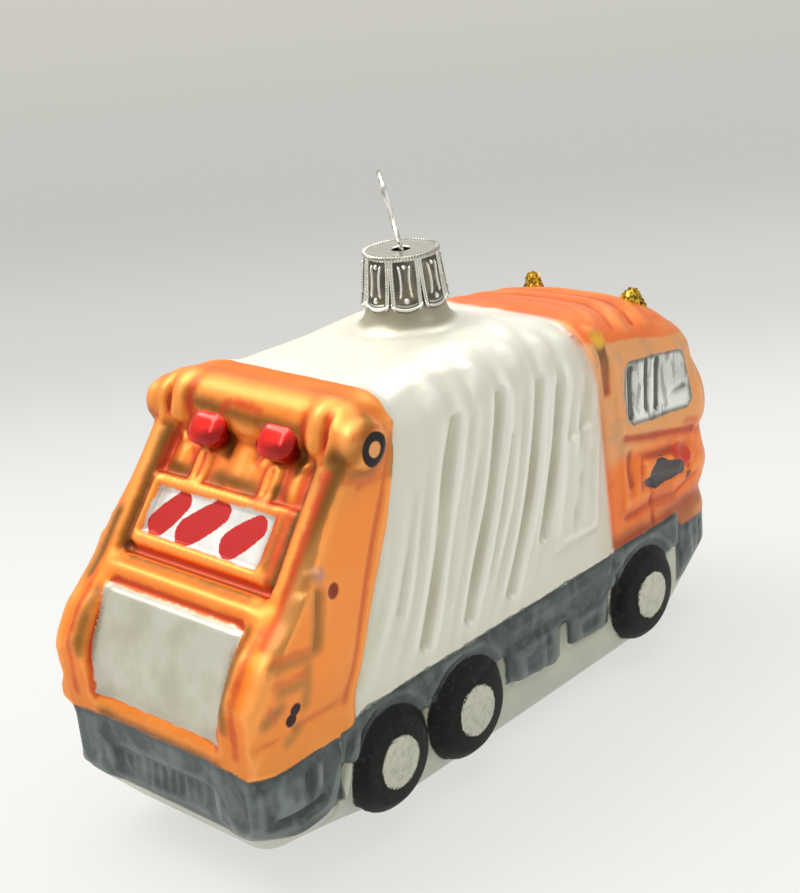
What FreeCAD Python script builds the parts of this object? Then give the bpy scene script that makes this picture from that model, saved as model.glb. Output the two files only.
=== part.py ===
"""A mouth-blown glass tree ornament in the shape of a garbage truck.

The glass is one thin silvered envelope, blown in a mould and painted in zones.  Each painted
zone is a sub-part of its own that meets its neighbours face to face round one shared cavity.
A pressed metal crown cap with eight petals sits on the neck, and a spring wire hanger turns
in the cap's hole.

Frame: +X to the front bumper, +Y to the truck's left, +Z up, millimetres.  The origin is on
the ground under the middle of the length.
"""
import FreeCAD, Part
import math
import os
import Sketcher

DOC = FreeCAD.newDocument("GarbageTruckOrnament")

# ---------------------------------------------------------------- driving dimensions
# (name, value in mm or degrees, what it is)
SIZES = (
    # the whole moulding
    ("body_length", 122.0, "rear sill to nose"),
    ("bin_half", 20.2, "half width over the bin"),
    ("crown", 69.8, "height of the bin's top"),
    ("glass_wall", 1.4, "thickness of the blown wall"),
    # widths
    ("gate_proud", 1.0, "how far the tailgate stands out past the bin's side"),
    ("cab_inset", 0.4, "how far the cab's side lies inside the bin's"),
    ("belly_inset", 0.7, "how far the bumpers' and belly's side lies inside the bin's"),
    # heights of the paint lines
    ("skirt_band", 1.8, "grey band over the tyres, up to the paint line"),
    ("door_line", 20.5, "paint line above the front bumper"),
    ("belly_edge", 11.5, "paint line under the rear bumper"),
    ("chin_edge", 9.5, "paint line under the front bumper"),
    # roundings
    ("crown_radius", 11.0, "the bin's long top edges"),
    ("roof_radius", 8.0, "the cab roof's long edges"),
    ("brow_radius", 10.0, "the cab's front, seen from the side"),
    ("nose_corner", 5.0, "the cab's front corners, in plan"),
    ("tail_corner", 4.0, "the tailgate's rear corners, in plan"),
    ("tail_bend", 8.0, "the tailgate's back, seen from the side"),
    ("rail_round", 2.0, "the outer edges of the gate's side rails"),
    ("low_corner", 7.5, "the bumpers' and belly's corners, in plan"),
    ("belly_radius", 8.0, "the belly's long bottom edges"),
    # tailgate, measured forwards from the rear
    ("seam_foot", 19.8, "gate's seam with the bin, at the paint line"),
    ("seam_knee", 32.1, "the seam's knee"),
    ("seam_knee_height", 51.0, "height of that knee"),
    ("seam_head", 36.4, "the seam at the bin's top"),
    ("gate_back", 0.4, "the gate's upright back"),
    ("tail_knee", 1.2, "where the gate's back leans forwards"),
    ("tail_knee_height", 33.4, "height of that place"),
    ("tail_brow", 3.9, "where the gate's back turns to the slope"),
    ("tail_brow_height", 39.1, "height of that place"),
    ("slope_foot", 9.3, "foot of the gate's slope"),
    ("slope_foot_height", 43.9, "height of the slope's foot"),
    ("slope_head", 24.4, "head of the gate's slope"),
    ("slope_drop", 6.9, "the slope's head under the crown"),
    ("gate_drop", 3.3, "the gate's top under the crown"),
    ("rail_height", 1.6, "how far a side rail stands out of the slope"),
    ("roll_back", 28.3, "axis of the hinge roll"),
    ("roll_drop", 5.4, "that axis under the crown"),
    ("roll_radius", 3.7, "radius of the hinge roll"),
    ("knob_radius", 4.1, "radius of the roll's end knobs"),
    ("knob_length", 5.0, "length of an end knob"),
    ("knob_end", 0.8, "chamfer of a knob's end"),
    ("roll_groove", 0.6, "width and depth of the groove beside a knob"),
    ("roll_proud", 1.6, "how far the roll stands out past the gate's side"),
    ("bar_radius", 1.5, "radius of the bar across the slope's foot"),
    ("sill_radius", 1.25, "radius of the sill under the hopper"),
    ("sill_half", 16.5, "half length of the sill"),
    ("hopper_half", 13.5, "half width of the hopper panel"),
    ("hopper_high", 42.1, "height of the hopper panel's head"),
    ("hopper_depth", 1.6, "how deep the hopper panel's foot lies"),
    ("hopper_lean", 4.5, "how far the hopper panel leans forwards"),
    ("marker_half", 11.5, "half width of the striped panel"),
    ("marker_thick", 0.4, "thickness of the striped panel"),
    ("frame_half", 15.6, "half width of the frame round the striped panel"),
    ("frame_low", 4.3, "that frame, distance up the slope"),
    ("frame_tall", 11.6, "that frame, length up the slope"),
    ("frame_border", 2.2, "width of the frame's border"),
    ("frame_proud", 1.2, "thickness of the frame"),
    ("lamp_aside", 7.5, "distance of a tail lamp from the middle"),
    ("lamp_drop", 2.47, "tail lamp's foot, distance down the slope from its head"),
    ("lamp_length", 4.6, "length of a tail lamp"),
    ("lamp_width", 5.8, "width of a tail lamp"),
    ("lamp_proud", 3.8, "how far a tail lamp stands out"),
    ("lamp_facet", 1.1, "width of a tail lamp's facets"),
    ("stem_width", 1.7, "width of the stem under a tail lamp"),
    ("stem_proud", 0.8, "thickness of that stem"),
    # bumpers and belly
    ("tail_joint", 17.0, "front end of the rear bumper, from the rear"),
    ("tuck_height", 15.5, "height where the rear bumper turns under"),
    ("tuck", 1.4, "how far the rear bumper turns under"),
    ("plate_half", 10.2, "half width of the rear bumper's recess"),
    ("plate_low", 14.1, "height of that recess's foot"),
    ("plate_high", 18.8, "height of that recess's head"),
    ("plate_depth", 0.5, "depth of that recess"),
    ("chin_joint", 14.5, "rear end of the front bumper, from the nose"),
    ("chin_tuck", 3.4, "how far the front bumper turns under"),
    ("belly_tail", 5.5, "lower rear edge of the belly, from the rear"),
    ("belly_tail_height", 6.2, "height of that edge"),
    ("belly_rise", 35.0, "rear end of the belly's flat, from the rear"),
    ("belly_run", 17.0, "front end of the belly's flat, from the nose"),
    # bin
    ("bin_fall", 51.5, "where the bin's top begins to fall to the cab, from the nose"),
    ("groove_depth", 0.9, "depth of a deep groove"),
    ("groove_width", 2.0, "width of a deep groove"),
    ("crease_depth", 0.45, "depth of a light groove"),
    ("crease_width", 1.3, "width of a light groove"),
    ("groove_lean", 0.5, "lean of a groove at its foot"),
    ("groove_bend", 0.0045, "how much of that lean each millimetre up takes away"),
    ("hatch_proud", 0.45, "thickness of the pad on the bin's side"),
    # cab, measured backwards from the nose
    ("cab_foot", 34.5, "cab's seam with the bin, at the paint line"),
    ("cab_head", 37.4, "that seam at the roof"),
    ("roof_rear", 3.9, "the roof at the seam, under the crown"),
    ("roof_front", 7.8, "the roof over the screen, under the crown"),
    ("brow", 12.5, "where the roof turns down"),
    ("screen_high_in", 5.2, "the screen's head"),
    ("screen_high_drop", 13.5, "the screen's head under the crown"),
    ("screen_low_in", 0.5, "the screen's foot"),
    ("screen_low_drop", 22.3, "the screen's foot under the crown"),
    ("nose_height", 28.5, "height of the foremost point"),
    ("window_recess", 0.2, "how deep a side window lies"),
    ("window_glass", 0.5, "thickness of a side window"),
    ("screen_glass", 0.9, "thickness of the windscreen"),
    ("screen_half", 13.8, "half width of the windscreen"),
    ("handle_proud", 1.0, "thickness of a door handle"),
    ("beacon_aside", 11.1, "distance of a beacon from the middle"),
    ("beacon_behind", 13.0, "beacon's axis behind the nose"),
    ("beacon_radius", 2.3, "radius of a beacon's foot"),
    ("beacon_tip", 0.9, "radius of a beacon's top"),
    ("beacon_height", 3.3, "height of a beacon over the roof"),
    # wheels
    ("wheel_height", 12.8, "height of the wheel centres"),
    ("tyre_radius", 8.9, "tyre radius"),
    ("hub_radius", 4.2, "hub radius"),
    ("hub_proud", 3.5, "hub's face past the belly's side"),
    ("axle_rear", 27.9, "rear axle, from the rear"),
    ("tyre_clear", 0.7, "gap between the rear and the middle tyre"),
    ("axle_front", 26.7, "front axle, from the nose"),
    ("tyre_gap", 0.05, "gap between a tyre and the skirt"),
    ("skirt_proud", 1.1, "thickness of a side skirt"),
    ("band_low", 17.5, "foot of the grey band between the wheels"),
    ("tank_rear", 57.0, "rear end of the tank under the band, from the rear"),
    ("tank_front", 71.0, "front end of that tank, from the rear"),
    ("tank_foot_rear", 12.0, "height of the tank's foot at its rear end"),
    ("tank_foot_front", 10.5, "height of the tank's foot at its front end"),
    ("locker_rear", 48.0, "rear end of the locker under the band, from the nose"),
    ("locker_front", 37.0, "front end of that locker, from the nose"),
    ("locker_head", 16.5, "foot of the band between the tank and the locker"),
    ("locker_foot_rear", 12.0, "height of the locker's foot at its rear end"),
    ("locker_foot_front", 11.0, "height of the locker's foot at its front end"),
    # neck, cap and hanger
    ("neck_ahead", 1.3, "the neck's axis ahead of the middle"),
    ("neck_bore", 4.9, "inside radius of the neck"),
    ("neck_wall", 0.6, "wall of the neck at its rim"),
    ("flare_proud", 1.0, "how far the neck's flared foot stands out past the cap"),
    ("cap_seat", 12.8, "the cap's top over the crown"),
    ("cap_height", 9.0, "height of the cap"),
    ("cap_clear", 0.3, "play between the neck's rim and the cap"),
    ("cap_spread", 1.0, "how much wider the cap is at its hem than at its rim"),
    ("cap_sheet", 0.3, "thickness of the cap's sheet"),
    ("cap_hole", 1.55, "radius of the hole in the cap"),
    ("petal_gap", 1.5, "width of the gap between two petals at the hem"),
    ("petal_rise", 2.2, "height of that gap"),
    ("wire_radius", 0.38, "radius of the hanger's wire"),
    ("eye_radius", 4.3, "radius of the hanger's eye"),
    ("eye_height", 12.6, "height of the eye over the cap"),
    ("throat_half", 0.62, "half the distance of the two wires in the cap's hole"),
    ("leg_length", 8.0, "how far the hanger's legs reach below the cap's top"),
    ("leg_clear", 1.1, "how far the legs' feet stand off the neck's bore"),
    ("hanger_lean", 11.0, "lean of the hanger, degrees"),
    ("hanger_turn", 48.0, "turn of the hanger about the neck, degrees"),
)

# what fits to those sizes: (name, formula, what it is)
FITTED = (
    ("skirt_top", "wheel_height + tyre_radius + skirt_band", "paint line above the skirts"),
    ("axle_middle", "axle_rear + 2 * tyre_radius + tyre_clear", "middle axle, from the rear"),
    ("slope_rise", "crown - slope_drop - slope_foot_height", "rise of the gate's slope"),
    ("slope_length", "sqrt((slope_head - slope_foot) ^ 2 + slope_rise ^ 2)",
     "length of the gate's slope"),
    ("lamp_up", "slope_length - lamp_drop", "tail lamp's foot, distance up the slope"),
    ("cap_rim", "neck_bore + neck_wall + cap_clear + cap_sheet", "radius of the cap's rim"),
    ("cap_hem", "cap_rim + cap_spread", "radius of the cap at its hem"),
    ("neck_flare", "cap_hem + flare_proud", "radius of the neck's flared foot"),
)

sheet = DOC.addObject("Spreadsheet::Sheet", "Sizes")
for row, (alias, value, meaning) in enumerate(SIZES + FITTED, start=1):
    sheet.set("A%d" % row, meaning)
    sheet.set("B%d" % row, "=" + value if isinstance(value, str) else str(value))
    sheet.setAlias("B%d" % row, alias)
DOC.recompute()


def S(name):
    """The sheet's cell of that name, as an expression."""
    return "Sizes." + name


def number(expression):
    """The value of an expression on the sheet."""
    return float(sheet.evalExpression(expression))


def from_rear(name):
    return "(Sizes.%s - Sizes.body_length / 2)" % name


def from_nose(name):
    return "(Sizes.body_length / 2 - Sizes.%s)" % name


def under_crown(name):
    return "(Sizes.crown - Sizes.%s)" % name


# ---------------------------------------------------------------- places from those sizes
REAR = "(-Sizes.body_length / 2)"
NOSE = "(Sizes.body_length / 2)"
GATE_HALF = "(Sizes.bin_half + Sizes.gate_proud)"
CAB_HALF = "(Sizes.bin_half - Sizes.cab_inset)"
BELLY_HALF = "(Sizes.bin_half - Sizes.belly_inset)"
CAVITY_HALF = "(Sizes.bin_half - Sizes.belly_inset - Sizes.glass_wall)"
ROLL_HALF = "(Sizes.bin_half + Sizes.gate_proud + Sizes.roll_proud)"
GATE_BACK = from_rear("gate_back")
SEAM_FOOT = from_rear("seam_foot")
SEAM_KNEE = from_rear("seam_knee")
SEAM_HEAD = from_rear("seam_head")
SLOPE_FOOT_X = from_rear("slope_foot")
SLOPE_FOOT_Z = S("slope_foot_height")
SLOPE_HEAD_X = from_rear("slope_head")
SLOPE_HEAD_Z = under_crown("slope_drop")
GATE_TOP = under_crown("gate_drop")
ROLL_X = from_rear("roll_back")
ROLL_Z = under_crown("roll_drop")
HOPPER_LOW = "(Sizes.skirt_top + 2 * Sizes.sill_radius)"
TAIL_JOINT = from_rear("tail_joint")
CHIN_JOINT = from_nose("chin_joint")
BIN_FALL = from_nose("bin_fall")
CAB_FOOT = from_nose("cab_foot")
CAB_HEAD = from_nose("cab_head")
ROOF_REAR = under_crown("roof_rear")
ROOF_FRONT = under_crown("roof_front")
BROW = from_nose("brow")
SCREEN_HEAD = (from_nose("screen_high_in"), under_crown("screen_high_drop"))
SCREEN_FOOT = (from_nose("screen_low_in"), under_crown("screen_low_drop"))
CAP_TOP = "(Sizes.crown + Sizes.cap_seat)"

PARTS = {}


# ---------------------------------------------------------------- modelling helpers
def plane_of(body, role):
    return [feature for feature in body.Origin.OriginFeatures if feature.Role == role][0]


def sketch_on(body, name, role, offset="0"):
    """An empty sketch on one of the body's origin planes, moved along the plane's normal."""
    sketch = body.newObject("Sketcher::SketchObject", name)
    sketch.AttachmentSupport = [(plane_of(body, role), "")]
    sketch.MapMode = "FlatFace"
    sketch.setExpression("AttachmentOffset.Base.z", offset)
    return sketch


def draw_outline(sketch, corners):
    """A closed run of lines whose corners are pairs of expressions."""
    first = sketch.GeometryCount
    spots = [FreeCAD.Vector(number(across), number(up), 0) for across, up in corners]
    count = len(spots)
    for index in range(count):
        sketch.addGeometry(Part.LineSegment(spots[index], spots[(index + 1) % count]), False)
    for index in range(count):
        follower = first + (index + 1) % count
        sketch.addConstraint(Sketcher.Constraint("Coincident", first + index, 2, follower, 1))
    for index, (across, up) in enumerate(corners):
        for kind, expression, value in (("DistanceX", across, spots[index].x),
                                        ("DistanceY", up, spots[index].y)):
            rule = Sketcher.Constraint(kind, -1, 1, first + index, 1, value)
            place = sketch.addConstraint(rule)
            sketch.setExpression("Constraints[%d]" % place, expression)


def draw_box(sketch, left, right, low, high):
    draw_outline(sketch, ((left, low), (right, low), (right, high), (left, high)))


def draw_circle(sketch, across, up, radius):
    """A circle whose centre and radius are expressions."""
    centre = FreeCAD.Vector(number(across), number(up), 0)
    place = sketch.addGeometry(
        Part.Circle(centre, FreeCAD.Vector(0, 0, 1), number(radius)), False)
    for kind, expression, value in (("DistanceX", across, centre.x),
                                    ("DistanceY", up, centre.y)):
        rule = sketch.addConstraint(Sketcher.Constraint(kind, -1, 1, place, 3, value))
        sketch.setExpression("Constraints[%d]" % rule, expression)
    rule = sketch.addConstraint(Sketcher.Constraint("Radius", place, number(radius)))
    sketch.setExpression("Constraints[%d]" % rule, radius)


def new_body(name):
    body = DOC.addObject("PartDesign::Body", name)
    body.Label = name
    return body


def pad(body, sketch, length, symmetric=False, reverse=False):
    feature = body.newObject("PartDesign::Pad", "Pad")
    feature.Profile = sketch
    feature.setExpression("Length", length)
    if symmetric:
        feature.SideType = "Symmetric"
    feature.Reversed = reverse
    DOC.recompute()
    return feature


def pocket(body, sketch, length, reverse=False):
    before = body.Shape.Volume
    feature = body.newObject("PartDesign::Pocket", "Pocket")
    feature.Profile = sketch
    feature.setExpression("Length", length)
    feature.Reversed = reverse
    DOC.recompute()
    if not body.Shape.Volume < before - 1e-3:
        raise RuntimeError("%s: the pocket %s cuts nothing" % (body.Label, feature.Name))
    return feature


def revolution(body, sketch, axis):
    feature = body.newObject("PartDesign::Revolution", "Revolution")
    feature.Profile = sketch
    feature.ReferenceAxis = (sketch, [axis])
    feature.Angle = 360
    DOC.recompute()
    return feature


def mirror(body, features):
    """The same features again on the other side of the truck's middle plane."""
    twin = body.newObject("PartDesign::Mirrored", "Mirrored")
    twin.Originals = features
    twin.MirrorPlane = (plane_of(body, "XZ_Plane"), "")
    body.Tip = twin
    DOC.recompute()
    return twin


def dress(kind, size_name, body, size, wanted):
    """A fillet or chamfer on the edges that a test on (middle, direction) picks."""
    base = body.Tip
    names = []
    for index, edge in enumerate(base.Shape.Edges, start=1):
        if edge.isClosed():
            continue
        middle = edge.valueAt((edge.FirstParameter + edge.LastParameter) / 2)
        reach = edge.Vertexes[-1].Point - edge.Vertexes[0].Point
        if wanted(middle, reach.normalize()):
            names.append("Edge%d" % index)
    feature = body.newObject("PartDesign::" + kind, kind)
    feature.Base = (base, names)
    feature.setExpression(size_name, size)
    DOC.recompute()
    if "Invalid" in feature.State:
        raise RuntimeError("%s: %s of %d edges fails" % (body.Label, kind, len(names)))
    return feature


def fillet(body, radius, wanted):
    return dress("Fillet", "Radius", body, radius, wanted)


def chamfer(body, size, wanted):
    return dress("Chamfer", "Size", body, size, wanted)


def long_edges(half, above=None, below=None):
    """Edges that run fore and aft along the sides at +-half."""
    def test(middle, direction):
        on_side = abs(abs(middle.y) - number(half)) < 0.01
        runs_along = abs(direction.y) < 0.01 and abs(direction.x) > 0.55
        high_enough = above is None or middle.z > number(above)
        low_enough = below is None or middle.z < number(below)
        return on_side and runs_along and high_enough and low_enough
    return test


def across_edges(*corners):
    """Edges that run across the truck through the given (x, height) corners."""
    spots = [(number(x), number(z)) for x, z in corners]

    def test(middle, direction):
        near = any(math.hypot(middle.x - x, middle.z - z) < 0.01 for x, z in spots)
        return near and abs(direction.y) > 0.99
    return test


def upright_edges(forward):
    """Upright edges at the nose, or at the rear."""
    def test(middle, direction):
        return abs(direction.z) > 0.99 and (middle.x > 0) == forward
    return test


def side_profile(name, corners, half):
    """A body whose side view is the outline, as wide as the truck there."""
    body = new_body(name)
    sketch = sketch_on(body, name + "_profile", "XZ_Plane")
    draw_outline(sketch, corners)
    pad(body, sketch, "2 * %s" % half, symmetric=True)
    return body


def side_panel(name, corners, side, inner, outer):
    """An upright panel on one side of the truck, between two distances from the middle."""
    body = new_body(name)
    offset = inner if side == "right" else "-" + inner
    sketch = sketch_on(body, name + "_outline", "XZ_Plane", offset)
    draw_outline(sketch, corners)
    pad(body, sketch, "%s - %s" % (outer, inner), reverse=(side == "left"))
    return body


def plan_form(name, half, rear_corner=None, nose_corner=None, inset="0"):
    """An upright block as long as the truck, with rounded corners in plan."""
    body = new_body(name)
    sketch = sketch_on(body, name + "_plan", "XY_Plane", "-1")
    draw_box(sketch, "%s + %s" % (REAR, inset), "%s - %s" % (NOSE, inset), "-" + half, half)
    pad(body, sketch, "Sizes.crown + 2")
    if rear_corner:
        fillet(body, rear_corner, upright_edges(False))
    if nose_corner:
        fillet(body, nose_corner, upright_edges(True))
    return body


def keep(name, thing):
    """Names a finished sub-part."""
    thing.Label = name
    PARTS[name] = thing
    return thing


def chain(kind, name, base, tools):
    """Applies a boolean with each tool in turn."""
    result = base
    for index, tool in enumerate(tools):
        feature = DOC.addObject("Part::" + kind, "%s_%s%d" % (name, kind, index))
        feature.Base = result
        feature.Tool = tool
        result = feature
    DOC.recompute()
    return result


def cut(name, base, *tools):
    return chain("Cut", name, base, tools)


def common(name, base, *tools):
    return chain("Common", name, base, tools)


def fuse(name, base, *tools):
    return chain("Fuse", name, base, tools)


def bar_across(name, radius, half, x, z):
    """A round bar across the truck."""
    bar = DOC.addObject("Part::Cylinder", name)
    bar.setExpression("Radius", radius)
    bar.setExpression("Height", "2 * %s" % half)
    bar.Placement = FreeCAD.Placement(
        FreeCAD.Vector(0, 0, 0), FreeCAD.Rotation(FreeCAD.Vector(1, 0, 0), 90))
    bar.setExpression("Placement.Base.x", x)
    bar.setExpression("Placement.Base.y", half)
    bar.setExpression("Placement.Base.z", z)
    DOC.recompute()
    return bar


def at_nose(outline, level):
    """Expressions for an outline of (distance behind the nose, height over a level)."""
    return [("(Sizes.body_length / 2 - %s)" % behind, "(%s + (%s))" % (level, over))
            for behind, over in outline]


# ---------------------------------------------------------------- the shared cavity
def make_cavity():
    wall = S("glass_wall")
    under_top = "%s - %s" % (S("crown"), wall)
    corners = (
        (REAR + " + Sizes.tuck + 1.2", S("belly_edge")),
        (from_rear("belly_tail") + " + 1.4", S("belly_tail_height") + " + 1.2"),
        (from_rear("belly_rise") + " + 0.2", wall),
        (from_nose("belly_run") + " - 0.6", wall),
        (from_nose("chin_tuck") + " - 1.4", S("chin_edge") + " + 1.2"),
        (NOSE + " - 0.8 - " + wall, "17"),
        (NOSE + " - 0.6 - " + wall, S("nose_height")),
        (SCREEN_FOOT[0] + " - 0.4 - " + wall, SCREEN_FOOT[1] + " - 1"),
        (SCREEN_HEAD[0] + " - 0.2 - " + wall, SCREEN_HEAD[1] + " - " + wall),
        (BROW + " - 1.8", ROOF_FRONT + " - " + wall),
        (CAB_HEAD, ROOF_REAR + " - " + wall),
        (BIN_FALL + " - 0.5", under_top),
        (SEAM_HEAD + " + 2.6", under_top),
        (SLOPE_HEAD_X + " + 1.1", SLOPE_HEAD_Z + " - 2 * " + wall),
        (SLOPE_FOOT_X + " + 0.5 + " + wall, SLOPE_FOOT_Z + " - " + wall),
        (REAR + " + Sizes.hopper_depth + 0.8 + " + wall, "33"),
        (REAR + " + Sizes.hopper_depth + " + wall, HOPPER_LOW),
        (GATE_BACK + " + 0.4 + " + wall, S("skirt_top")),
    )
    body = side_profile("cavity_side", corners, CAVITY_HALF)
    fillet(body, "Sizes.crown_radius - Sizes.glass_wall",
           long_edges(CAVITY_HALF, above="Sizes.crown - 14.8"))
    fillet(body, "Sizes.belly_radius - Sizes.glass_wall", long_edges(CAVITY_HALF, below="12"))
    corner = "Sizes.low_corner - Sizes.glass_wall"
    plan = plan_form("cavity_plan", CAVITY_HALF, corner, corner, inset=wall)
    return common("cavity", body, plan)


CAVITY = make_cavity()


def neck_hole():
    """What the neck's bore takes out of the bin's top."""
    bore = DOC.addObject("Part::Cylinder", "neck_hole")
    bore.setExpression("Radius", S("neck_bore"))
    bore.setExpression("Height", "4 * Sizes.glass_wall")
    bore.setExpression("Placement.Base.x", S("neck_ahead"))
    bore.setExpression("Placement.Base.z", "Sizes.crown - 3 * Sizes.glass_wall")
    return bore


# ---------------------------------------------------------------- bin
# Each groove: where its line meets the foot line, from the rear; where it starts, over the
# skirt's top; where it ends, under the crown; and whether it is a deep one.
FOOT_LINE = 3.0
GROOVES = (
    (22.5, 3.0, 24.5, False),
    (29.3, 10.5, 16.8, False),
    (37.4, 3.0, 8.3, True),
    (41.8, 8.0, 9.3, False),
    (48.0, 3.0, 7.8, True),
    (52.0, 8.0, 15.3, False),
    (58.6, 3.0, 8.8, True),
    (64.5, 9.5, 8.3, True),
    (72.1, 25.5, 11.8, False),
)
# The pad on the bin's side and its two slots: (behind the nose, over the skirt's top).
HATCH = ((51.2, 6.5), (38.5, 6.5), (36.7, 24.0), (45.5, 24.0))
HATCH_SLOTS = (
    ((42.8, 15.0), (41.4, 15.0), (40.2, 22.0), (41.6, 22.0)),
    ((45.8, 8.3), (44.4, 8.3), (43.6, 13.0), (45.0, 13.0)),
)


def groove_outline(place, start, end, width):
    """Two bowed sides, each through the groove's foot, middle and head."""
    foot = "(Sizes.skirt_top + %s)" % start
    head = "(Sizes.crown - %s)" % end
    heights = (foot, "((%s + %s) / 2)" % (foot, head), head)
    sides = []
    for height in heights:
        rise = "(%s - Sizes.skirt_top - %s)" % (height, FOOT_LINE)
        line = "(%s - Sizes.body_length / 2 + Sizes.groove_lean * %s" % (place, rise)
        line += " - Sizes.groove_bend * %s * %s)" % (rise, rise)
        sides.append((line, height))
    right = [(line + " + " + width, height) for line, height in sides]
    return sides + right[::-1]


def make_grooves(body, name, deep, width, depth):
    sketch = sketch_on(body, name, "XZ_Plane", "Sizes.bin_half - " + depth)
    for place, start, end, is_deep in GROOVES:
        if is_deep == deep:
            draw_outline(sketch, groove_outline(place, start, end, width))
    return pocket(body, sketch, "5", reverse=True)


def make_hatch(side):
    """The raised pad on the bin's side, with two slots down to the bin's own surface."""
    inner = "(Sizes.bin_half - 0.3)"
    outer = "(Sizes.bin_half + Sizes.hatch_proud)"
    pad_body = side_panel("hatch_" + side, at_nose(HATCH, S("skirt_top")), side, inner, outer)
    sketch = sketch_on(pad_body, "hatch_slots_" + side, "XZ_Plane",
                       inner if side == "right" else "-" + inner)
    for slot in HATCH_SLOTS:
        draw_outline(sketch, at_nose(slot, S("skirt_top")))
    pocket(pad_body, sketch, "2", reverse=(side == "right"))
    return pad_body


def make_bin():
    corners = (
        (SEAM_FOOT, S("skirt_top")),
        (CAB_FOOT, S("skirt_top")),
        (CAB_HEAD, ROOF_REAR),
        (BIN_FALL, S("crown")),
        (SEAM_HEAD, S("crown")),
        (SEAM_KNEE, S("seam_knee_height")),
    )
    body = side_profile("bin_shell", corners, S("bin_half"))
    fillet(body, S("crown_radius"), long_edges(S("bin_half"), above="Sizes.crown - 5"))
    deep = make_grooves(body, "grooves", True, S("groove_width"), S("groove_depth"))
    light = make_grooves(body, "creases", False, S("crease_width"), S("crease_depth"))
    mirror(body, [deep, light])
    whole = fuse("bin_with_hatch", body, make_hatch("right"), make_hatch("left"))
    keep("bin_body", cut("bin_body", whole, CAVITY, neck_hole()))


# ---------------------------------------------------------------- tailgate
SLOPE_ANGLE = "(-atan((%s - %s) / (%s - %s)))" % (
    SLOPE_HEAD_Z, SLOPE_FOOT_Z, SLOPE_HEAD_X, SLOPE_FOOT_X)
SLOPE_LENGTH = "sqrt((%s - %s) ^ 2 + (%s - %s) ^ 2)" % (
    SLOPE_HEAD_Z, SLOPE_FOOT_Z, SLOPE_HEAD_X, SLOPE_FOOT_X)
SEAM_LEAN = "(%s - %s) / (Sizes.crown - Sizes.seam_knee_height)" % (SEAM_HEAD, SEAM_KNEE)
GATE_SEAM_TOP = "(%s + (%s - Sizes.seam_knee_height) * %s)" % (SEAM_KNEE, GATE_TOP, SEAM_LEAN)
SLOPE_FLOOR = "-Sizes.rail_height"
FRAME_HIGH = "(Sizes.frame_low + Sizes.frame_tall)"


def on_slope(thing):
    """Puts a thing's own X up the gate's slope and its own Z out of the slope."""
    thing.Placement = FreeCAD.Placement(
        FreeCAD.Vector(number(SLOPE_FOOT_X), 0, number(SLOPE_FOOT_Z)),
        FreeCAD.Rotation(FreeCAD.Vector(0, 1, 0), number(SLOPE_ANGLE)))
    thing.setExpression("Placement.Base.x", SLOPE_FOOT_X)
    thing.setExpression("Placement.Base.z", SLOPE_FOOT_Z)
    thing.setExpression("Placement.Rotation.Angle", SLOPE_ANGLE)


def slope_block(name, spans, bottom, thickness):
    """Rectangular blocks on the slope; each span is (low, high, right, left)."""
    body = new_body(name)
    on_slope(body)
    sketch = sketch_on(body, name + "_outline", "XY_Plane", bottom)
    for low, high, right, left in spans:
        draw_box(sketch, low, high, right, left)
    pad(body, sketch, thickness)
    return body


def slope_plate(name, low, high, half, bottom, thickness):
    return slope_block(name, ((low, high, "-" + half, half),), bottom, thickness)


def hinge_roll_form():
    """The roll across the gate's head: a round bar with a grooved knob at each end."""
    body = new_body("roll")
    body.setExpression("Placement.Base.x", ROLL_X)
    body.setExpression("Placement.Base.z", ROLL_Z)
    shoulder = "(%s - Sizes.knob_length)" % ROLL_HALF
    stations = (
        (S("roll_radius"), shoulder + " - 2 * Sizes.roll_groove"),
        ("(Sizes.roll_radius - Sizes.roll_groove)", shoulder + " - Sizes.roll_groove"),
        (S("knob_radius"), shoulder),
        (S("knob_radius"), ROLL_HALF + " - Sizes.knob_end"),
        ("(Sizes.knob_radius - Sizes.knob_end)", ROLL_HALF),
        ("0", ROLL_HALF),
    )
    right = [(radius, "-(%s)" % along) for radius, along in stations]
    sketch = sketch_on(body, "roll_profile", "XY_Plane")
    draw_outline(sketch, list(stations) + right[::-1])
    revolution(body, sketch, "V_Axis")
    return body


def make_hopper():
    """The pale panel in the gate's back, and the opening that it fills."""
    deep = "(%s + Sizes.hopper_depth)" % REAR
    inside = "(%s + Sizes.slope_foot + 1.5)" % REAR
    head = S("hopper_high")
    bulge = (deep + " + 0.5", "33")
    panel = side_profile("hopper_plate", (
        (deep, HOPPER_LOW),
        (inside, HOPPER_LOW),
        (inside, head),
        (deep + " + Sizes.hopper_lean", head),
        bulge,
    ), S("hopper_half"))
    fillet(panel, "2 * " + S("tail_bend"), across_edges(bulge))
    slot = side_profile("hopper_slot", (
        (REAR + " - 1", HOPPER_LOW),
        (inside, HOPPER_LOW),
        (inside, head),
        (REAR + " - 1", head),
    ), S("hopper_half"))
    keep("hopper_panel", cut("hopper_panel", panel, CAVITY))
    return slot


def make_marker():
    """The striped panel and the frame round it, both on the floor between the rails."""
    frame = slope_plate("marker_frame", S("frame_low"), FRAME_HIGH, S("frame_half"),
                        SLOPE_FLOOR, S("frame_proud"))
    low = "(Sizes.frame_low + Sizes.frame_border)"
    high = "(%s - Sizes.frame_border)" % FRAME_HIGH
    half = S("marker_half")
    window = sketch_on(frame, "frame_window", "XY_Plane", SLOPE_FLOOR)
    draw_box(window, low, high, "-" + half, half)
    pocket(frame, window, S("frame_proud"), reverse=True)
    keep("marker_panel",
         slope_plate("marker_plate", low, high, half, SLOPE_FLOOR, S("marker_thick")))
    return frame


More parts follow.
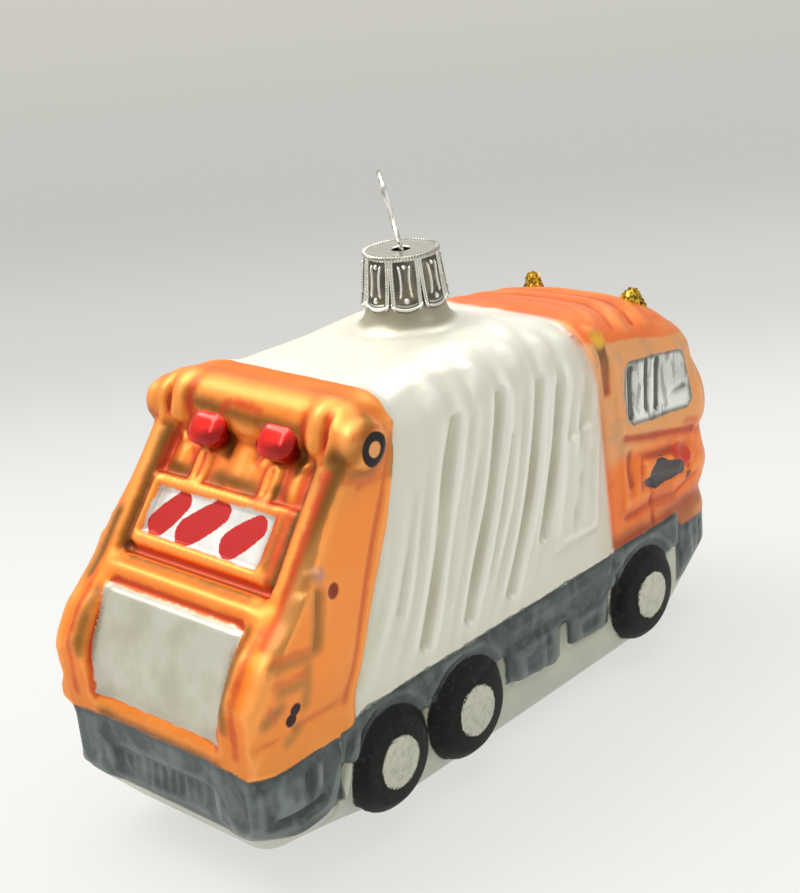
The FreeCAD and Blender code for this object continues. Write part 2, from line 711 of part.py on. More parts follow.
def make_gate_shell():
    knee = (from_rear("tail_knee"), S("tail_knee_height"))
    brow = (from_rear("tail_brow"), S("tail_brow_height"))
    body = side_profile("gate_side", (
        (GATE_BACK, S("skirt_top")),
        (SEAM_FOOT, S("skirt_top")),
        (SEAM_KNEE, S("seam_knee_height")),
        (GATE_SEAM_TOP, GATE_TOP),
        (ROLL_X + " + 1.5", ROLL_Z + " + 2"),
        (SLOPE_HEAD_X, SLOPE_HEAD_Z),
        (SLOPE_FOOT_X, SLOPE_FOOT_Z),
        brow,
        knee,
    ), GATE_HALF)
    fillet(body, S("tail_bend"), across_edges(knee, brow))

    def rail_edges(middle, direction):
        on_side = abs(abs(middle.y) - number(GATE_HALF)) < 0.01
        behind_head = middle.x < number(SLOPE_HEAD_X)
        above_knee = middle.z > number(knee[1]) + 2
        return on_side and behind_head and above_knee and abs(direction.y) < 0.01
    fillet(body, S("rail_round"), rail_edges)
    return common("gate_shell", body, plan_form("gate_plan", GATE_HALF, S("tail_corner")))


def make_lamps(roll):
    stems = []
    for side, sign in (("right", "-"), ("left", "")):
        edges = ["(%s%s + %s * Sizes.%s / 2)" % (sign, S("lamp_aside"), way, width)
                 for width in ("lamp_width", "stem_width") for way in (-1, 1)]
        reach = "(Sizes.lamp_up + Sizes.lamp_length)"
        lamp = slope_block("lamp_" + side, ((S("lamp_up"), reach, edges[0], edges[1]),),
                           SLOPE_FLOOR, S("lamp_proud"))
        foot = number(SLOPE_FLOOR)
        chamfer(lamp, S("lamp_facet"), lambda middle, direction: middle.z > foot + 0.1)
        keep("tail_lamp_" + side, cut("lamp_cut_" + side, lamp, roll))
        stems.append((FRAME_HIGH, S("lamp_up"), edges[2], edges[3]))
    return slope_block("lamp_stems", stems, SLOPE_FLOOR, S("stem_proud"))


def make_tailgate():
    roll = hinge_roll_form()
    floor = slope_plate("between_rails", "2.6", SLOPE_LENGTH + " + 6", S("frame_half"),
                        SLOPE_FLOOR, "12")
    slot = make_hopper()
    frame = make_marker()
    shell = cut("gate_cut", make_gate_shell(), floor, roll, slot)
    bar = bar_across("slope_bar", S("bar_radius"), S("frame_half"),
                     SLOPE_FOOT_X + " + 0.2", SLOPE_FOOT_Z + " - 0.2")
    sill = bar_across("hopper_sill", S("sill_radius"), S("sill_half"),
                      REAR + " + Sizes.sill_radius", "Sizes.skirt_top + Sizes.sill_radius")
    whole = fuse("gate_whole", shell, bar, sill, frame, make_lamps(roll))
    keep("tailgate", cut("tailgate", whole, CAVITY))
    keep("hinge_roll", cut("hinge_roll", roll, CAVITY))


# ---------------------------------------------------------------- cab
# Outlines as (distance behind the nose, height over the crown or over the skirt's top).
WINDOW = ((26.4, -25.0), (11.4, -26.8), (9.8, -24.8), (10.6, -18.2),
          (12.9, -15.8), (27.7, -14.2), (29.0, -15.8), (29.1, -21.8))
HANDLE = ((24.4, 10.3), (13.4, 8.5), (13.0, 10.3), (13.8, 11.7), (24.0, 13.5))


def make_cab():
    body = side_profile("cab_side", (
        (CAB_FOOT, S("skirt_top")),
        (CHIN_JOINT, S("skirt_top")),
        (CHIN_JOINT + " + 2", S("door_line")),
        (NOSE + " - 0.8", S("door_line")),
        (NOSE, S("nose_height")),
        SCREEN_FOOT,
        SCREEN_HEAD,
        (BROW, ROOF_FRONT),
        (CAB_HEAD, ROOF_REAR),
    ), CAB_HALF)
    fillet(body, S("brow_radius"),
           across_edges(SCREEN_FOOT, SCREEN_HEAD, (BROW, ROOF_FRONT)))
    fillet(body, S("roof_radius"), long_edges(CAB_HALF, above=ROOF_FRONT + " - 3"))
    form = common("cab_form", body, plan_form("cab_plan", CAB_HALF,
                                              nose_corner=S("nose_corner")))
    glass_back = "(%s - Sizes.window_recess - Sizes.window_glass)" % CAB_HALF
    glass_front = "(%s - Sizes.window_recess)" % CAB_HALF
    openings = []
    for side in ("right", "left"):
        window = at_nose(WINDOW, S("crown"))
        openings.append(side_panel("window_opening_" + side, window, side, glass_back,
                                   "(Sizes.bin_half + 3)"))
        keep("cab_window_" + side, side_panel("cab_window_" + side, window, side,
                                              glass_back, glass_front))
        keep("door_handle_" + side, side_panel(
            "door_handle_" + side, at_nose(HANDLE, S("skirt_top")), side, CAB_HALF,
            "(%s + Sizes.handle_proud)" % CAB_HALF))
    back = " - Sizes.screen_glass"
    screen = side_profile("screen_block", (
        (NOSE + " + 1", SCREEN_FOOT[1] + " - 8"),
        (NOSE + " + 1", SCREEN_HEAD[1] + " - 1.5"),
        (SCREEN_HEAD[0] + back + " + 0.6", SCREEN_HEAD[1] + " - 1.5"),
        (SCREEN_FOOT[0] + back, SCREEN_FOOT[1]),
        (NOSE + " - 0.2" + back, SCREEN_FOOT[1] + " - 8"),
    ), S("screen_half"))
    keep("windscreen", common("windscreen", form, screen))
    keep("cab", cut("cab", form, *openings, screen, CAVITY))
    for side, sign in (("right", "-"), ("left", "")):
        beacon = DOC.addObject("Part::Cone", "beacon_" + side)
        seat = 1.2
        beacon.setExpression("Radius1", S("beacon_radius"))
        beacon.setExpression("Radius2", S("beacon_tip"))
        beacon.setExpression("Height", "Sizes.beacon_height + %s" % seat)
        beacon.setExpression("Placement.Base.x", from_nose("beacon_behind"))
        beacon.setExpression("Placement.Base.y", sign + S("beacon_aside"))
        beacon.setExpression("Placement.Base.z", "%s - %s" % (ROOF_FRONT, seat))
        keep("beacon_" + side, cut("beacon_cut_" + side, beacon, form))


# ---------------------------------------------------------------- lower glass
def make_lower_glass():
    """Both bumpers and the belly, parted from one form along their paint lines."""
    tuck = from_rear("tuck")
    chin = from_nose("chin_tuck")
    side = side_profile("lower_side", (
        (GATE_BACK, S("skirt_top")),
        (GATE_BACK, S("tuck_height")),
        (tuck, S("belly_edge")),
        (from_rear("belly_tail"), S("belly_tail_height")),
        (from_rear("belly_rise"), "0"),
        (from_nose("belly_run"), "0"),
        (chin, S("chin_edge")),
        (NOSE + " - 1.2", "13"),
        (NOSE + " - 0.8", S("door_line")),
        (CHIN_JOINT + " + 2", S("door_line")),
        (CHIN_JOINT, S("skirt_top")),
    ), BELLY_HALF)
    fillet(side, S("belly_radius"), long_edges(BELLY_HALF, below=S("chin_edge")))
    form = common("lower_form", side, plan_form("lower_plan", BELLY_HALF, S("low_corner"),
                                                S("low_corner")))
    wide = S("bin_half")
    rear_zone = side_profile("rear_zone", (
        (REAR + " - 1", S("skirt_top")),
        (REAR + " - 1", S("belly_edge")),
        (TAIL_JOINT, S("belly_edge")),
        (TAIL_JOINT, S("skirt_top")),
    ), wide)
    front_zone = side_profile("front_zone", (
        (CHIN_JOINT, S("skirt_top")),
        (CHIN_JOINT, S("chin_edge")),
        (NOSE + " + 1", S("chin_edge")),
        (NOSE + " + 1", S("door_line")),
        (CHIN_JOINT + " + 2", S("door_line")),
    ), wide)
    recess = side_profile("bumper_recess", (
        (REAR + " - 1", S("plate_low")),
        (GATE_BACK + " + Sizes.plate_depth", S("plate_low")),
        (GATE_BACK + " + Sizes.plate_depth", S("plate_high")),
        (REAR + " - 1", S("plate_high")),
    ), S("plate_half"))
    keep("rear_bumper", cut("rear_bumper", common("rear_part", form, rear_zone),
                            recess, CAVITY))
    keep("front_bumper", cut("front_bumper", common("front_part", form, front_zone), CAVITY))
    keep("belly", cut("belly", form, rear_zone, front_zone, CAVITY))


# ---------------------------------------------------------------- wheels
# Each axle: its name and its place.
AXLES = (("rear", from_rear("axle_rear")), ("middle", from_rear("axle_middle")),
         ("front", from_nose("axle_front")))


def turned(name, profile, axle, side):
    """A body turned round a wheel's axis; the profile gives (distance out, radius)."""
    body = new_body(name)
    body.Placement = FreeCAD.Placement(
        FreeCAD.Vector(0, 0, 0), FreeCAD.Rotation(FreeCAD.Vector(0, 0, 1),
                                                  -90 if side == "right" else 90))
    body.setExpression("Placement.Base.x", axle)
    body.setExpression("Placement.Base.z", S("wheel_height"))
    sketch = sketch_on(body, name + "_profile", "XZ_Plane")
    draw_outline(sketch, profile)
    revolution(body, sketch, "H_Axis")
    return body


def make_wheels():
    hub_face = "(%s + Sizes.hub_proud)" % BELLY_HALF
    tyre_profile = (
        (BELLY_HALF, S("hub_radius")),
        (hub_face + " - 0.4", S("hub_radius")),
        (hub_face + " - 1.0", "Sizes.tyre_radius - 1.7"),
        (hub_face + " - 2.8", S("tyre_radius")),
        (BELLY_HALF, S("tyre_radius")),
    )
    hub_profile = (
        (BELLY_HALF, "0"),
        (hub_face, "0"),
        (hub_face + " - 0.4", S("hub_radius")),
        (BELLY_HALF, S("hub_radius")),
    )
    for place, axle in AXLES:
        for side in ("right", "left"):
            name = "tyre_%s_%s" % (place, side)
            keep(name, turned(name, tyre_profile, axle, side))
            name = "hub_%s_%s" % (place, side)
            keep(name, turned(name, hub_profile, axle, side))


# ---------------------------------------------------------------- side skirts
def make_skirts():
    """The grey band along each side, with a tank and a locker hanging from it."""
    outline = (
        (TAIL_JOINT, S("skirt_top")),
        (TAIL_JOINT, S("band_low")),
        (from_rear("tank_rear"), S("band_low")),
        (from_rear("tank_rear"), S("tank_foot_rear")),
        (from_rear("tank_front"), S("tank_foot_front")),
        (from_rear("tank_front"), S("locker_head")),
        (from_nose("locker_rear"), S("locker_head")),
        (from_nose("locker_rear"), S("locker_foot_rear")),
        (from_nose("locker_front"), S("locker_foot_front")),
        (from_nose("locker_front"), S("band_low")),
        (CHIN_JOINT, S("band_low")),
        (CHIN_JOINT, S("skirt_top")),
    )
    for side in ("right", "left"):
        body = side_panel("skirt_" + side, outline, side, BELLY_HALF,
                          "(%s + Sizes.skirt_proud)" % BELLY_HALF)
        offset = BELLY_HALF if side == "right" else "-" + BELLY_HALF
        sketch = sketch_on(body, "wheel_gaps_" + side, "XZ_Plane", offset)
        for place, axle in AXLES:
            draw_circle(sketch, axle, S("wheel_height"), "Sizes.tyre_radius + Sizes.tyre_gap")
        pocket(body, sketch, "4", reverse=(side == "right"))
        keep("skirt_" + side, body)


# ---------------------------------------------------------------- neck, cap and hanger
def revolved(name, profile):
    """A body turned round the neck's axis; the profile gives (radius, height)."""
    body = new_body(name)
    body.setExpression("Placement.Base.x", S("neck_ahead"))
    sketch = sketch_on(body, name + "_profile", "XZ_Plane")
    draw_outline(sketch, profile)
    revolution(body, sketch, "V_Axis")
    return body


PETALS = 8


def make_neck_and_cap():
    """The cap's petals are parted at the hem by arched gaps, one pocket in a polar pattern."""
    crown = S("crown")
    hem = "(%s - Sizes.cap_height)" % CAP_TOP
    rim = "(%s - Sizes.cap_sheet)" % CAP_TOP
    bore = S("neck_bore")
    keep("neck", revolved("neck", (
        (bore, crown),
        (S("neck_flare"), crown),
        ("(Sizes.neck_flare - 1.2)", crown + " + 1.4"),
        ("(Sizes.cap_hem - 2 * Sizes.cap_sheet)", hem),
        (bore + " + Sizes.neck_wall", rim),
        (bore, rim),
    )))
    cap = revolved("crown_cap", (
        (S("cap_hole"), CAP_TOP),
        (S("cap_hole"), rim),
        ("Sizes.cap_rim - Sizes.cap_sheet", rim),
        ("Sizes.cap_hem - Sizes.cap_sheet", hem),
        (S("cap_hem"), hem),
        (S("cap_rim"), rim),
        ("Sizes.cap_rim - 0.3", CAP_TOP),
    ))
    sketch = sketch_on(cap, "petal_gap_outline", "XZ_Plane")
    half_gap = "(Sizes.petal_gap / 2)"
    draw_outline(sketch, (
        ("-" + half_gap, hem + " - 1"),
        (half_gap, hem + " - 1"),
        (half_gap, hem + " + 0.3 * Sizes.petal_rise"),
        ("0.4 * " + half_gap, hem + " + Sizes.petal_rise"),
        ("-0.4 * " + half_gap, hem + " + Sizes.petal_rise"),
        ("-" + half_gap, hem + " + 0.3 * Sizes.petal_rise"),
    ))
    gap = pocket(cap, sketch, "Sizes.cap_hem + 1", reverse=True)
    ring = cap.newObject("PartDesign::PolarPattern", "PolarPattern")
    ring.Originals = [gap]
    ring.Axis = ([f for f in cap.Origin.OriginFeatures if f.Role == "Z_Axis"][0], [""])
    ring.Angle = 360
    ring.Occurrences = PETALS
    cap.Tip = ring
    DOC.recompute()
    keep("crown_cap", cap)


def make_hanger():
    """One length of spring wire: a drop-shaped eye over the cap, legs splayed in the neck."""
    wire = number(S("wire_radius"))
    eye = number(S("eye_radius"))
    throat = number(S("throat_half"))
    foot = number(S("neck_bore")) - number(S("leg_clear"))
    leg = -number(S("leg_length"))
    V = FreeCAD.Vector
    centre = V(0, 0, number(S("eye_height")) - eye)
    waist = V(throat, 0, 0.8)
    # where the line from the waist touches the eye's circle
    reach = centre - waist
    tilt = math.atan2(reach.x, reach.z) + math.asin(eye / reach.Length)
    run = math.sqrt(reach.Length ** 2 - eye ** 2)
    touch = waist + V(math.sin(tilt), 0, math.cos(tilt)) * run

    def other(spot):
        return V(-spot.x, 0, spot.z)
    legs = [V(foot, 0, leg), V(throat, 0, -1.2), waist, touch]
    edges = [Part.LineSegment(legs[i], legs[i + 1]).toShape() for i in range(3)]
    edges.append(Part.Arc(touch, centre + V(0, 0, eye), other(touch)).toShape())
    edges += [Part.LineSegment(other(legs[i + 1]), other(legs[i])).toShape()
              for i in (2, 1, 0)]
    section = Part.Wire(Part.Circle(legs[0], legs[1] - legs[0], wire).toShape())
    solid = Part.Wire(edges).makePipeShell([section], True, False, 2)
    hanger = DOC.addObject("Part::Feature", "hanger")
    hanger.Shape = solid
    turn = FreeCAD.Rotation(V(0, 0, 1), number(S("hanger_turn")))
    lean = FreeCAD.Rotation(V(1, 0, 0), -number(S("hanger_lean")))
    hanger.Placement = FreeCAD.Placement(
        V(number(S("neck_ahead")), 0, number(CAP_TOP)), turn.multiply(lean))
    keep("hanger", hanger)


make_bin()
make_tailgate()
make_cab()
make_lower_glass()
make_wheels()
make_skirts()
make_neck_and_cap()
make_hanger()
DOC.recompute()

# ---------------------------------------------------------------- checks and export
os.makedirs("parts", exist_ok=True)
for thing in DOC.Objects:
    if "Invalid" in thing.State or "Error" in thing.State:
        raise RuntimeError("%s: %s" % (thing.Name, thing.State))
for name, thing in PARTS.items():
    shape = thing.Shape
    if shape.isNull() or not shape.isValid() or not shape.Solids:
        raise RuntimeError("%s has no valid solid" % name)
    shape.exportStep(os.path.join("parts", name + ".step"))
    print("%-20s solids %d  volume %8.1f mm3" % (name, len(shape.Solids), shape.Volume))
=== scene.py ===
"""The looks of a blown glass garbage truck ornament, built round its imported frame.

The glass starts as one closed skin taken from the frame's glass nodes.  It is softened as
blown glass softens a mould's edges, gets the mould's relief, and is then parted into the
painted zones, each a thin shell of its own.  Paint lines are worked out in the materials.
"""

import math

import bmesh
import bpy
import numpy as np
from bpy.props import FloatProperty, FloatVectorProperty, IntProperty, PointerProperty
from mathutils import Matrix, Vector
from mathutils.bvhtree import BVHTree


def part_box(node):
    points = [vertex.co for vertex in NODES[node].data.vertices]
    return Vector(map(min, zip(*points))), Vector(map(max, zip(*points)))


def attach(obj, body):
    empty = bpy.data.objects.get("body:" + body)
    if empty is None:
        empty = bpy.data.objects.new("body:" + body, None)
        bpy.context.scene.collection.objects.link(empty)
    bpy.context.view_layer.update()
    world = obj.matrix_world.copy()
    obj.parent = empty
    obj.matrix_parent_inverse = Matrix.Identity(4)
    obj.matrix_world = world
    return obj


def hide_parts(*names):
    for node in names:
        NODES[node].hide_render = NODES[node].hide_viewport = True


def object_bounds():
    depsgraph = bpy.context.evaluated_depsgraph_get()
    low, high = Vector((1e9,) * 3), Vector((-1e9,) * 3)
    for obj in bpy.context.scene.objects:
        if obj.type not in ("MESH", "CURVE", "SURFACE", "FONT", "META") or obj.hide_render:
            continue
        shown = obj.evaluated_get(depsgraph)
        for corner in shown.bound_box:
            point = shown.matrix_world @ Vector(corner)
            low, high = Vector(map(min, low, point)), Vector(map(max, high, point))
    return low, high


bl_info = {
    "name": "Glass garbage truck ornament",
    "version": (1, 0, 0),
    "blender": (4, 5, 0),
    "location": "View3D > Sidebar > Ornament",
    "description": "Builds the lacquered glass, the crown cap, the hanger and the studio",
    "category": "Object",
}

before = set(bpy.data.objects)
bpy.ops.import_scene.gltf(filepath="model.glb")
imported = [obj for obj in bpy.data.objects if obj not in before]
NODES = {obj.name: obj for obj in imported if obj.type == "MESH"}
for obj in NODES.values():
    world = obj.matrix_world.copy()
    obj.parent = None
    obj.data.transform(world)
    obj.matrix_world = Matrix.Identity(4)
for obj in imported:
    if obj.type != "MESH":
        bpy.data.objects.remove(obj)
CAD_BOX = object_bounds()
MM = 0.001
SIDES = (("right", -1), ("left", 1))
AXLES = ("rear", "middle", "front")


def box_mm(node):
    """Lowest and highest corner of a frame node in millimetres."""
    low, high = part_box(node)
    return np.array(low) / MM, np.array(high) / MM


# ------------------------------------------------------------------ shader maths
class Flow:
    """A shader value.  Arithmetic on it adds nodes to its tree."""

    def __init__(self, tree, socket):
        self.tree = tree
        self.socket = socket

    def math(self, operation, *others):
        """A Math node on this value and others."""
        node = self.tree.nodes.new("ShaderNodeMath")
        node.operation = operation
        for place, value in zip(node.inputs, (self,) + others):
            plug(self.tree, place, value)
        return Flow(self.tree, node.outputs[0])

    def __add__(self, other):
        return self.math("ADD", other)

    def __sub__(self, other):
        return self.math("SUBTRACT", other)

    def __mul__(self, other):
        return self.math("MULTIPLY", other)

    def __truediv__(self, other):
        return self.math("DIVIDE", other)

    def __pow__(self, other):
        return self.math("POWER", other)

    def __radd__(self, other):
        return self.math("ADD", other)

    def __rsub__(self, other):
        return (self * -1).math("ADD", other)

    def __rmul__(self, other):
        return self.math("MULTIPLY", other)

    def __rtruediv__(self, other):
        return self.math("POWER", -1).math("MULTIPLY", other)

    def __rpow__(self, other):
        return (self * math.log(other)).math("EXPONENT")

    def __abs__(self):
        return self.math("ABSOLUTE")

    def least(self, other):
        """The lesser of two values."""
        return self.math("MINIMUM", other)

    def most(self, other):
        """The greater of two values."""
        return self.math("MAXIMUM", other)

    def clamp(self):
        return self.most(0.0).least(1.0)

    def step(self, low, high):
        """0 below low, 1 above high and smooth between; high may be the lower one."""
        t = ((self - low) / (high - low)).clamp()
        return t * t * (3 - 2 * t)


def plug(tree, place, value):
    """Links a value to a socket, or writes a plain one into it."""
    if isinstance(value, Flow):
        tree.links.new(value.socket, place)
    elif hasattr(place, "default_value") and hasattr(value, "__len__"):
        size = len(place.default_value)
        place.default_value = (tuple(value) + (1.0,) * size)[:size]
    else:
        place.default_value = value


class Nodes:
    """A node tree under construction, for a material or for geometry."""

    def __init__(self, tree):
        self.tree = tree

    def node(self, kind, settings=None, values=None, out=0):
        """Any node: its settings first, then the values or links of its sockets."""
        node = self.tree.nodes.new(kind)
        for key, value in (settings or {}).items():
            setattr(node, key, value)
        for key, value in (values or {}).items():
            plug(self.tree, node.inputs[key], value)
        return node if out is None else Flow(self.tree, node.outputs[out])


class Finish(Nodes):
    """A material under construction."""

    def __init__(self, name):
        self.material = bpy.data.materials.new(name)
        self.material.use_nodes = True
        super().__init__(self.material.node_tree)
        self.tree.nodes.clear()
        coordinates = self.node("ShaderNodeTexCoord", out="Object")
        self.place = self.node("ShaderNodeMapping", {}, {"Vector": coordinates,
                                                         "Scale": (1000, 1000, 1000)})
        split = self.node("ShaderNodeSeparateXYZ", {}, {"Vector": self.place}, out=None)
        self.x, self.y, self.z = (Flow(self.tree, split.outputs[i]) for i in range(3))

    def noise(self, scale, detail=2.0, rough=0.5, stretch=(1, 1, 1), distortion=0.0):
        """Noise whose features are about 1 / scale millimetres across."""
        spot = self.node("ShaderNodeMapping", {}, {"Vector": self.place, "Scale": stretch})
        return self.node("ShaderNodeTexNoise", {},
                         {"Vector": spot, "Scale": scale, "Detail": detail,
                          "Roughness": rough, "Distortion": distortion}, out="Fac")

    def attribute(self, name):
        """A number stored on the piece's points."""
        return self.node("ShaderNodeAttribute", {"attribute_name": name}, out="Fac")

    def blend(self, mask, under, over):
        """A colour that goes from one to another with a mask."""
        node = self.node("ShaderNodeMix", {"data_type": "RGBA"}, out=None)
        plug(self.tree, node.inputs["Factor"], mask)
        plug(self.tree, node.inputs[6], under)
        plug(self.tree, node.inputs[7], over)
        return Flow(self.tree, node.outputs[2])

    def mix(self, mask, under, over):
        """The same for plain numbers."""
        return mask * over + (1 - mask) * under

    def bump(self, height, strength, distance, normal=None):
        """A fine texture of the surface, on top of another where one is given."""
        values = {"Height": height, "Strength": strength, "Distance": distance}
        if normal is not None:
            values["Normal"] = normal
        return self.node("ShaderNodeBump", {}, values)

    def surface(self, **values):
        """The Principled shader, its sockets named as base_color is, and the output."""
        sockets = {key.replace("_", " ").title().replace("Ior", "IOR"): value
                   for key, value in values.items()}
        return self.output(self.node("ShaderNodeBsdfPrincipled", {}, sockets))

    def output(self, shader):
        """Shows a shader as the material's surface."""
        self.node("ShaderNodeOutputMaterial", {}, {"Surface": shader}, out=None)
        return self.material


# ------------------------------------------------------------------ mesh helpers
def linked(name, data):
    """A new object of the scene for a mesh, a lamp or a camera."""
    thing = bpy.data.objects.new(name, data)
    bpy.context.scene.collection.objects.link(thing)
    return thing


def mesh_object(name, points, faces, material):
    """A smooth mesh object from points in millimetres and an array of quads."""
    mesh = bpy.data.meshes.new(name)
    points = np.asarray(points, dtype=np.float64) * MM
    faces = np.asarray(faces, dtype=np.int32)
    count, size = faces.shape
    mesh.vertices.add(len(points))
    mesh.vertices.foreach_set("co", points.ravel())
    mesh.loops.add(count * size)
    mesh.loops.foreach_set("vertex_index", faces.ravel())
    mesh.polygons.add(count)
    mesh.polygons.foreach_set("loop_start", np.arange(count, dtype=np.int32) * size)
    mesh.update(calc_edges=True)
    mesh.validate()
    mesh.polygons.foreach_set("use_smooth", np.full(len(mesh.polygons), True))
    mesh.update()
    mesh.materials.append(material)
    return linked(name, mesh)


def evaluated_mesh(thing):
    """The object's mesh with its modifiers applied."""
    graph = bpy.context.evaluated_depsgraph_get()
    return bpy.data.meshes.new_from_object(thing.evaluated_get(graph))


def node_copy(name):
    """A copy of a frame node's mesh with its loose triangles merged."""
    build = bmesh.new()
    build.from_mesh(NODES[name].data)
    bmesh.ops.remove_doubles(build, verts=build.verts, dist=1e-6)
    mesh = bpy.data.meshes.new(name + "_copy")
    build.to_mesh(mesh)
    build.free()
    return mesh


def joined(nodes):
    """Several frame nodes' merged meshes in one."""
    build = bmesh.new()
    for node in nodes:
        mesh = node_copy(node)
        build.from_mesh(mesh)
        bpy.data.meshes.remove(mesh)
    return build


def points_and_quads(mesh):
    """A mesh of quads as arrays, its points in millimetres."""
    points = np.empty(len(mesh.vertices) * 3)
    mesh.vertices.foreach_get("co", points)
    corners = np.empty(len(mesh.loops), dtype=np.int32)
    mesh.loops.foreach_get("vertex_index", corners)
    return points.reshape(-1, 3) / MM, corners.reshape(-1, 4).astype(np.int64)


def set_floats(mesh, name, values):
    """Stores one number for each point under a name that a material reads."""
    layer = mesh.attributes.new(name, "FLOAT", "POINT")
    layer.data.foreach_set("value", np.asarray(values, dtype=np.float32))


def remeshed(mesh, voxel):
    """The outer surface of a mesh in even quads, voxel millimetres apart."""
    thing = linked("remeshed", mesh)
    remesh = thing.modifiers.new("remesh", "REMESH")
    remesh.mode = "VOXEL"
    remesh.voxel_size = voxel * MM
    result = evaluated_mesh(thing)
    arrays = points_and_quads(result)
    bpy.data.objects.remove(thing)
    bpy.data.meshes.remove(result)
    return arrays


# ------------------------------------------------------------------ the glass skin
PAINTS = {
    "white": ("bin_body", "neck"),
    "gate": ("tailgate", "hinge_roll"),
    "cab": ("cab",),
    "grey": ("rear_bumper", "front_bumper", "skirt_right", "skirt_left"),
    "belly": ("belly",),
    "tyre": tuple("tyre_%s_%s" % (axle, side) for axle in AXLES for side, _ in SIDES),
    "hub": tuple("hub_%s_%s" % (axle, side) for axle in AXLES for side, _ in SIDES),
    "hopper": ("hopper_panel",),
    "marker": ("marker_panel",),
    "window": ("cab_window_right", "cab_window_left"),
    "screen": ("windscreen",),
    "handle": ("door_handle_right", "door_handle_left"),
}
GLASS_NODES = [node for nodes in PAINTS.values() for node in nodes]
# depths in a paint past this many millimetres aren't told apart
FAR = 7.0
# a shell of fewer points than this is a crumb of the remesh
CRUMB = 500
# the truck's rear end and the neck's axis, along the truck in millimetres
REAR_END = -61
NECK_X = 1.3


def neighbours(quads):
    """Unique edges of a mesh of quads."""
    pairs = np.concatenate([quads[:, [0, 1]], quads[:, [1, 2]],
                            quads[:, [2, 3]], quads[:, [3, 0]]])
    pairs.sort(axis=1)
    return np.unique(pairs, axis=0)


def degrees(edges, count):
    """How many neighbours each point has."""
    return np.bincount(edges.ravel(), minlength=count)


def spread(values, edges, degree):
    """The mean of each point's neighbours."""
    count = len(degree)
    a, b = edges[:, 0], edges[:, 1]
    columns = values.reshape(count, -1)
    result = np.empty_like(columns)
    for column in range(columns.shape[1]):
        result[:, column] = (np.bincount(a, weights=columns[b, column], minlength=count)
                             + np.bincount(b, weights=columns[a, column], minlength=count))
    result /= degree[:, None]
    return result.reshape(values.shape)


def soften(values, edges, times, share=0.5):
    """Draws each value a share of the way to its neighbours' mean, so many times."""
    degree = degrees(edges, len(values))
    for _ in range(times):
        values = values + share * (spread(values, edges, degree) - values)
    return values


def point_normals(points, quads):
    """The points' normals, each the sum of its faces' normals by their size."""
    a, b, c, d = (points[quads[:, i]] for i in range(4))
    face = np.cross(c - a, d - b)
    result = np.zeros_like(points)
    for corner in range(4):
        for axis in range(3):
            result[:, axis] += np.bincount(quads[:, corner], weights=face[:, axis],
                                           minlength=len(points))
    return result / np.maximum(np.linalg.norm(result, axis=1, keepdims=True), 1e-12)


def closed_skin(voxel):
    """The glass nodes as one closed mesh of even quads: outer skin only.

    A stopper shuts the neck's bore, so that the skin has no inside that joins the outside.
    """
    build = joined(GLASS_NODES)
    low, high = box_mm("neck")
    middle = (low + high) / 2
    stopper = Matrix.Translation(Vector((middle[0], middle[1], low[2] - 0.8)) * MM)
    bmesh.ops.create_cone(build, cap_ends=True, segments=48, radius1=6 * MM, radius2=6 * MM,
                          depth=1.5 * MM, matrix=stopper)
    mesh = bpy.data.meshes.new("skin")
    build.to_mesh(mesh)
    build.free()
    points, quads = remeshed(mesh, voxel)
    # label the separate shells and keep the one that reaches furthest
    edges = neighbours(quads)
    label = np.arange(len(points))
    while True:
        fresh = label.copy()
        least = np.minimum(label[edges[:, 0]], label[edges[:, 1]])
        np.minimum.at(fresh, edges[:, 0], least)
        np.minimum.at(fresh, edges[:, 1], least)
        fresh = fresh[fresh]
        if np.array_equal(fresh, label):
            break
        label = fresh
    names, sizes = np.unique(label, return_counts=True)
    names = names[sizes > CRUMB]
    spans = [np.ptp(points[label == name], axis=0).sum() for name in names]
    keep = label == names[int(np.argmax(spans))]
    index = np.cumsum(keep) - 1
    quads = index[quads[keep[quads[:, 0]]]]
    return points[keep], quads


# ------------------------------------------------------------------ the mould's relief
def ease(values, low, high):
    """0 at low, 1 at high and smooth between."""
    share = np.clip((values - low) / (high - low), 0, 1)
    return share * share * (3 - 2 * share)


def line_distance(spots, path):
    """Distance of each spot to a path of straight runs, or to a single point."""
    path = np.atleast_2d(np.array(path, float))
    if len(path) == 1:
        path = np.repeat(path, 2, axis=0)
    best = np.full(len(spots), 1e3)
    for start, end in zip(path[:-1], path[1:]):
        along = end - start
        share = np.clip((spots - start) @ along / max(along @ along, 1e-9), 0, 1)
        gap = spots - start - share[:, None] * along
        best = np.minimum(best, np.hypot(gap[:, 0], gap[:, 1]))
    return best


def inside(spots, outline):
    """Distance to a closed outline, positive inside it."""
    ring = list(outline) + [outline[0]]
    within = np.zeros(len(spots), bool)
    for (ax, ay), (bx, by) in zip(ring[:-1], ring[1:]):
        if ay != by:
            between = (ay > spots[:, 1]) != (by > spots[:, 1])
            crossing = (bx - ax) * (spots[:, 1] - ay) / (by - ay) + ax
            within ^= between & (spots[:, 0] < crossing)
    distance = line_distance(spots, ring)
    return np.where(within, distance, -distance)


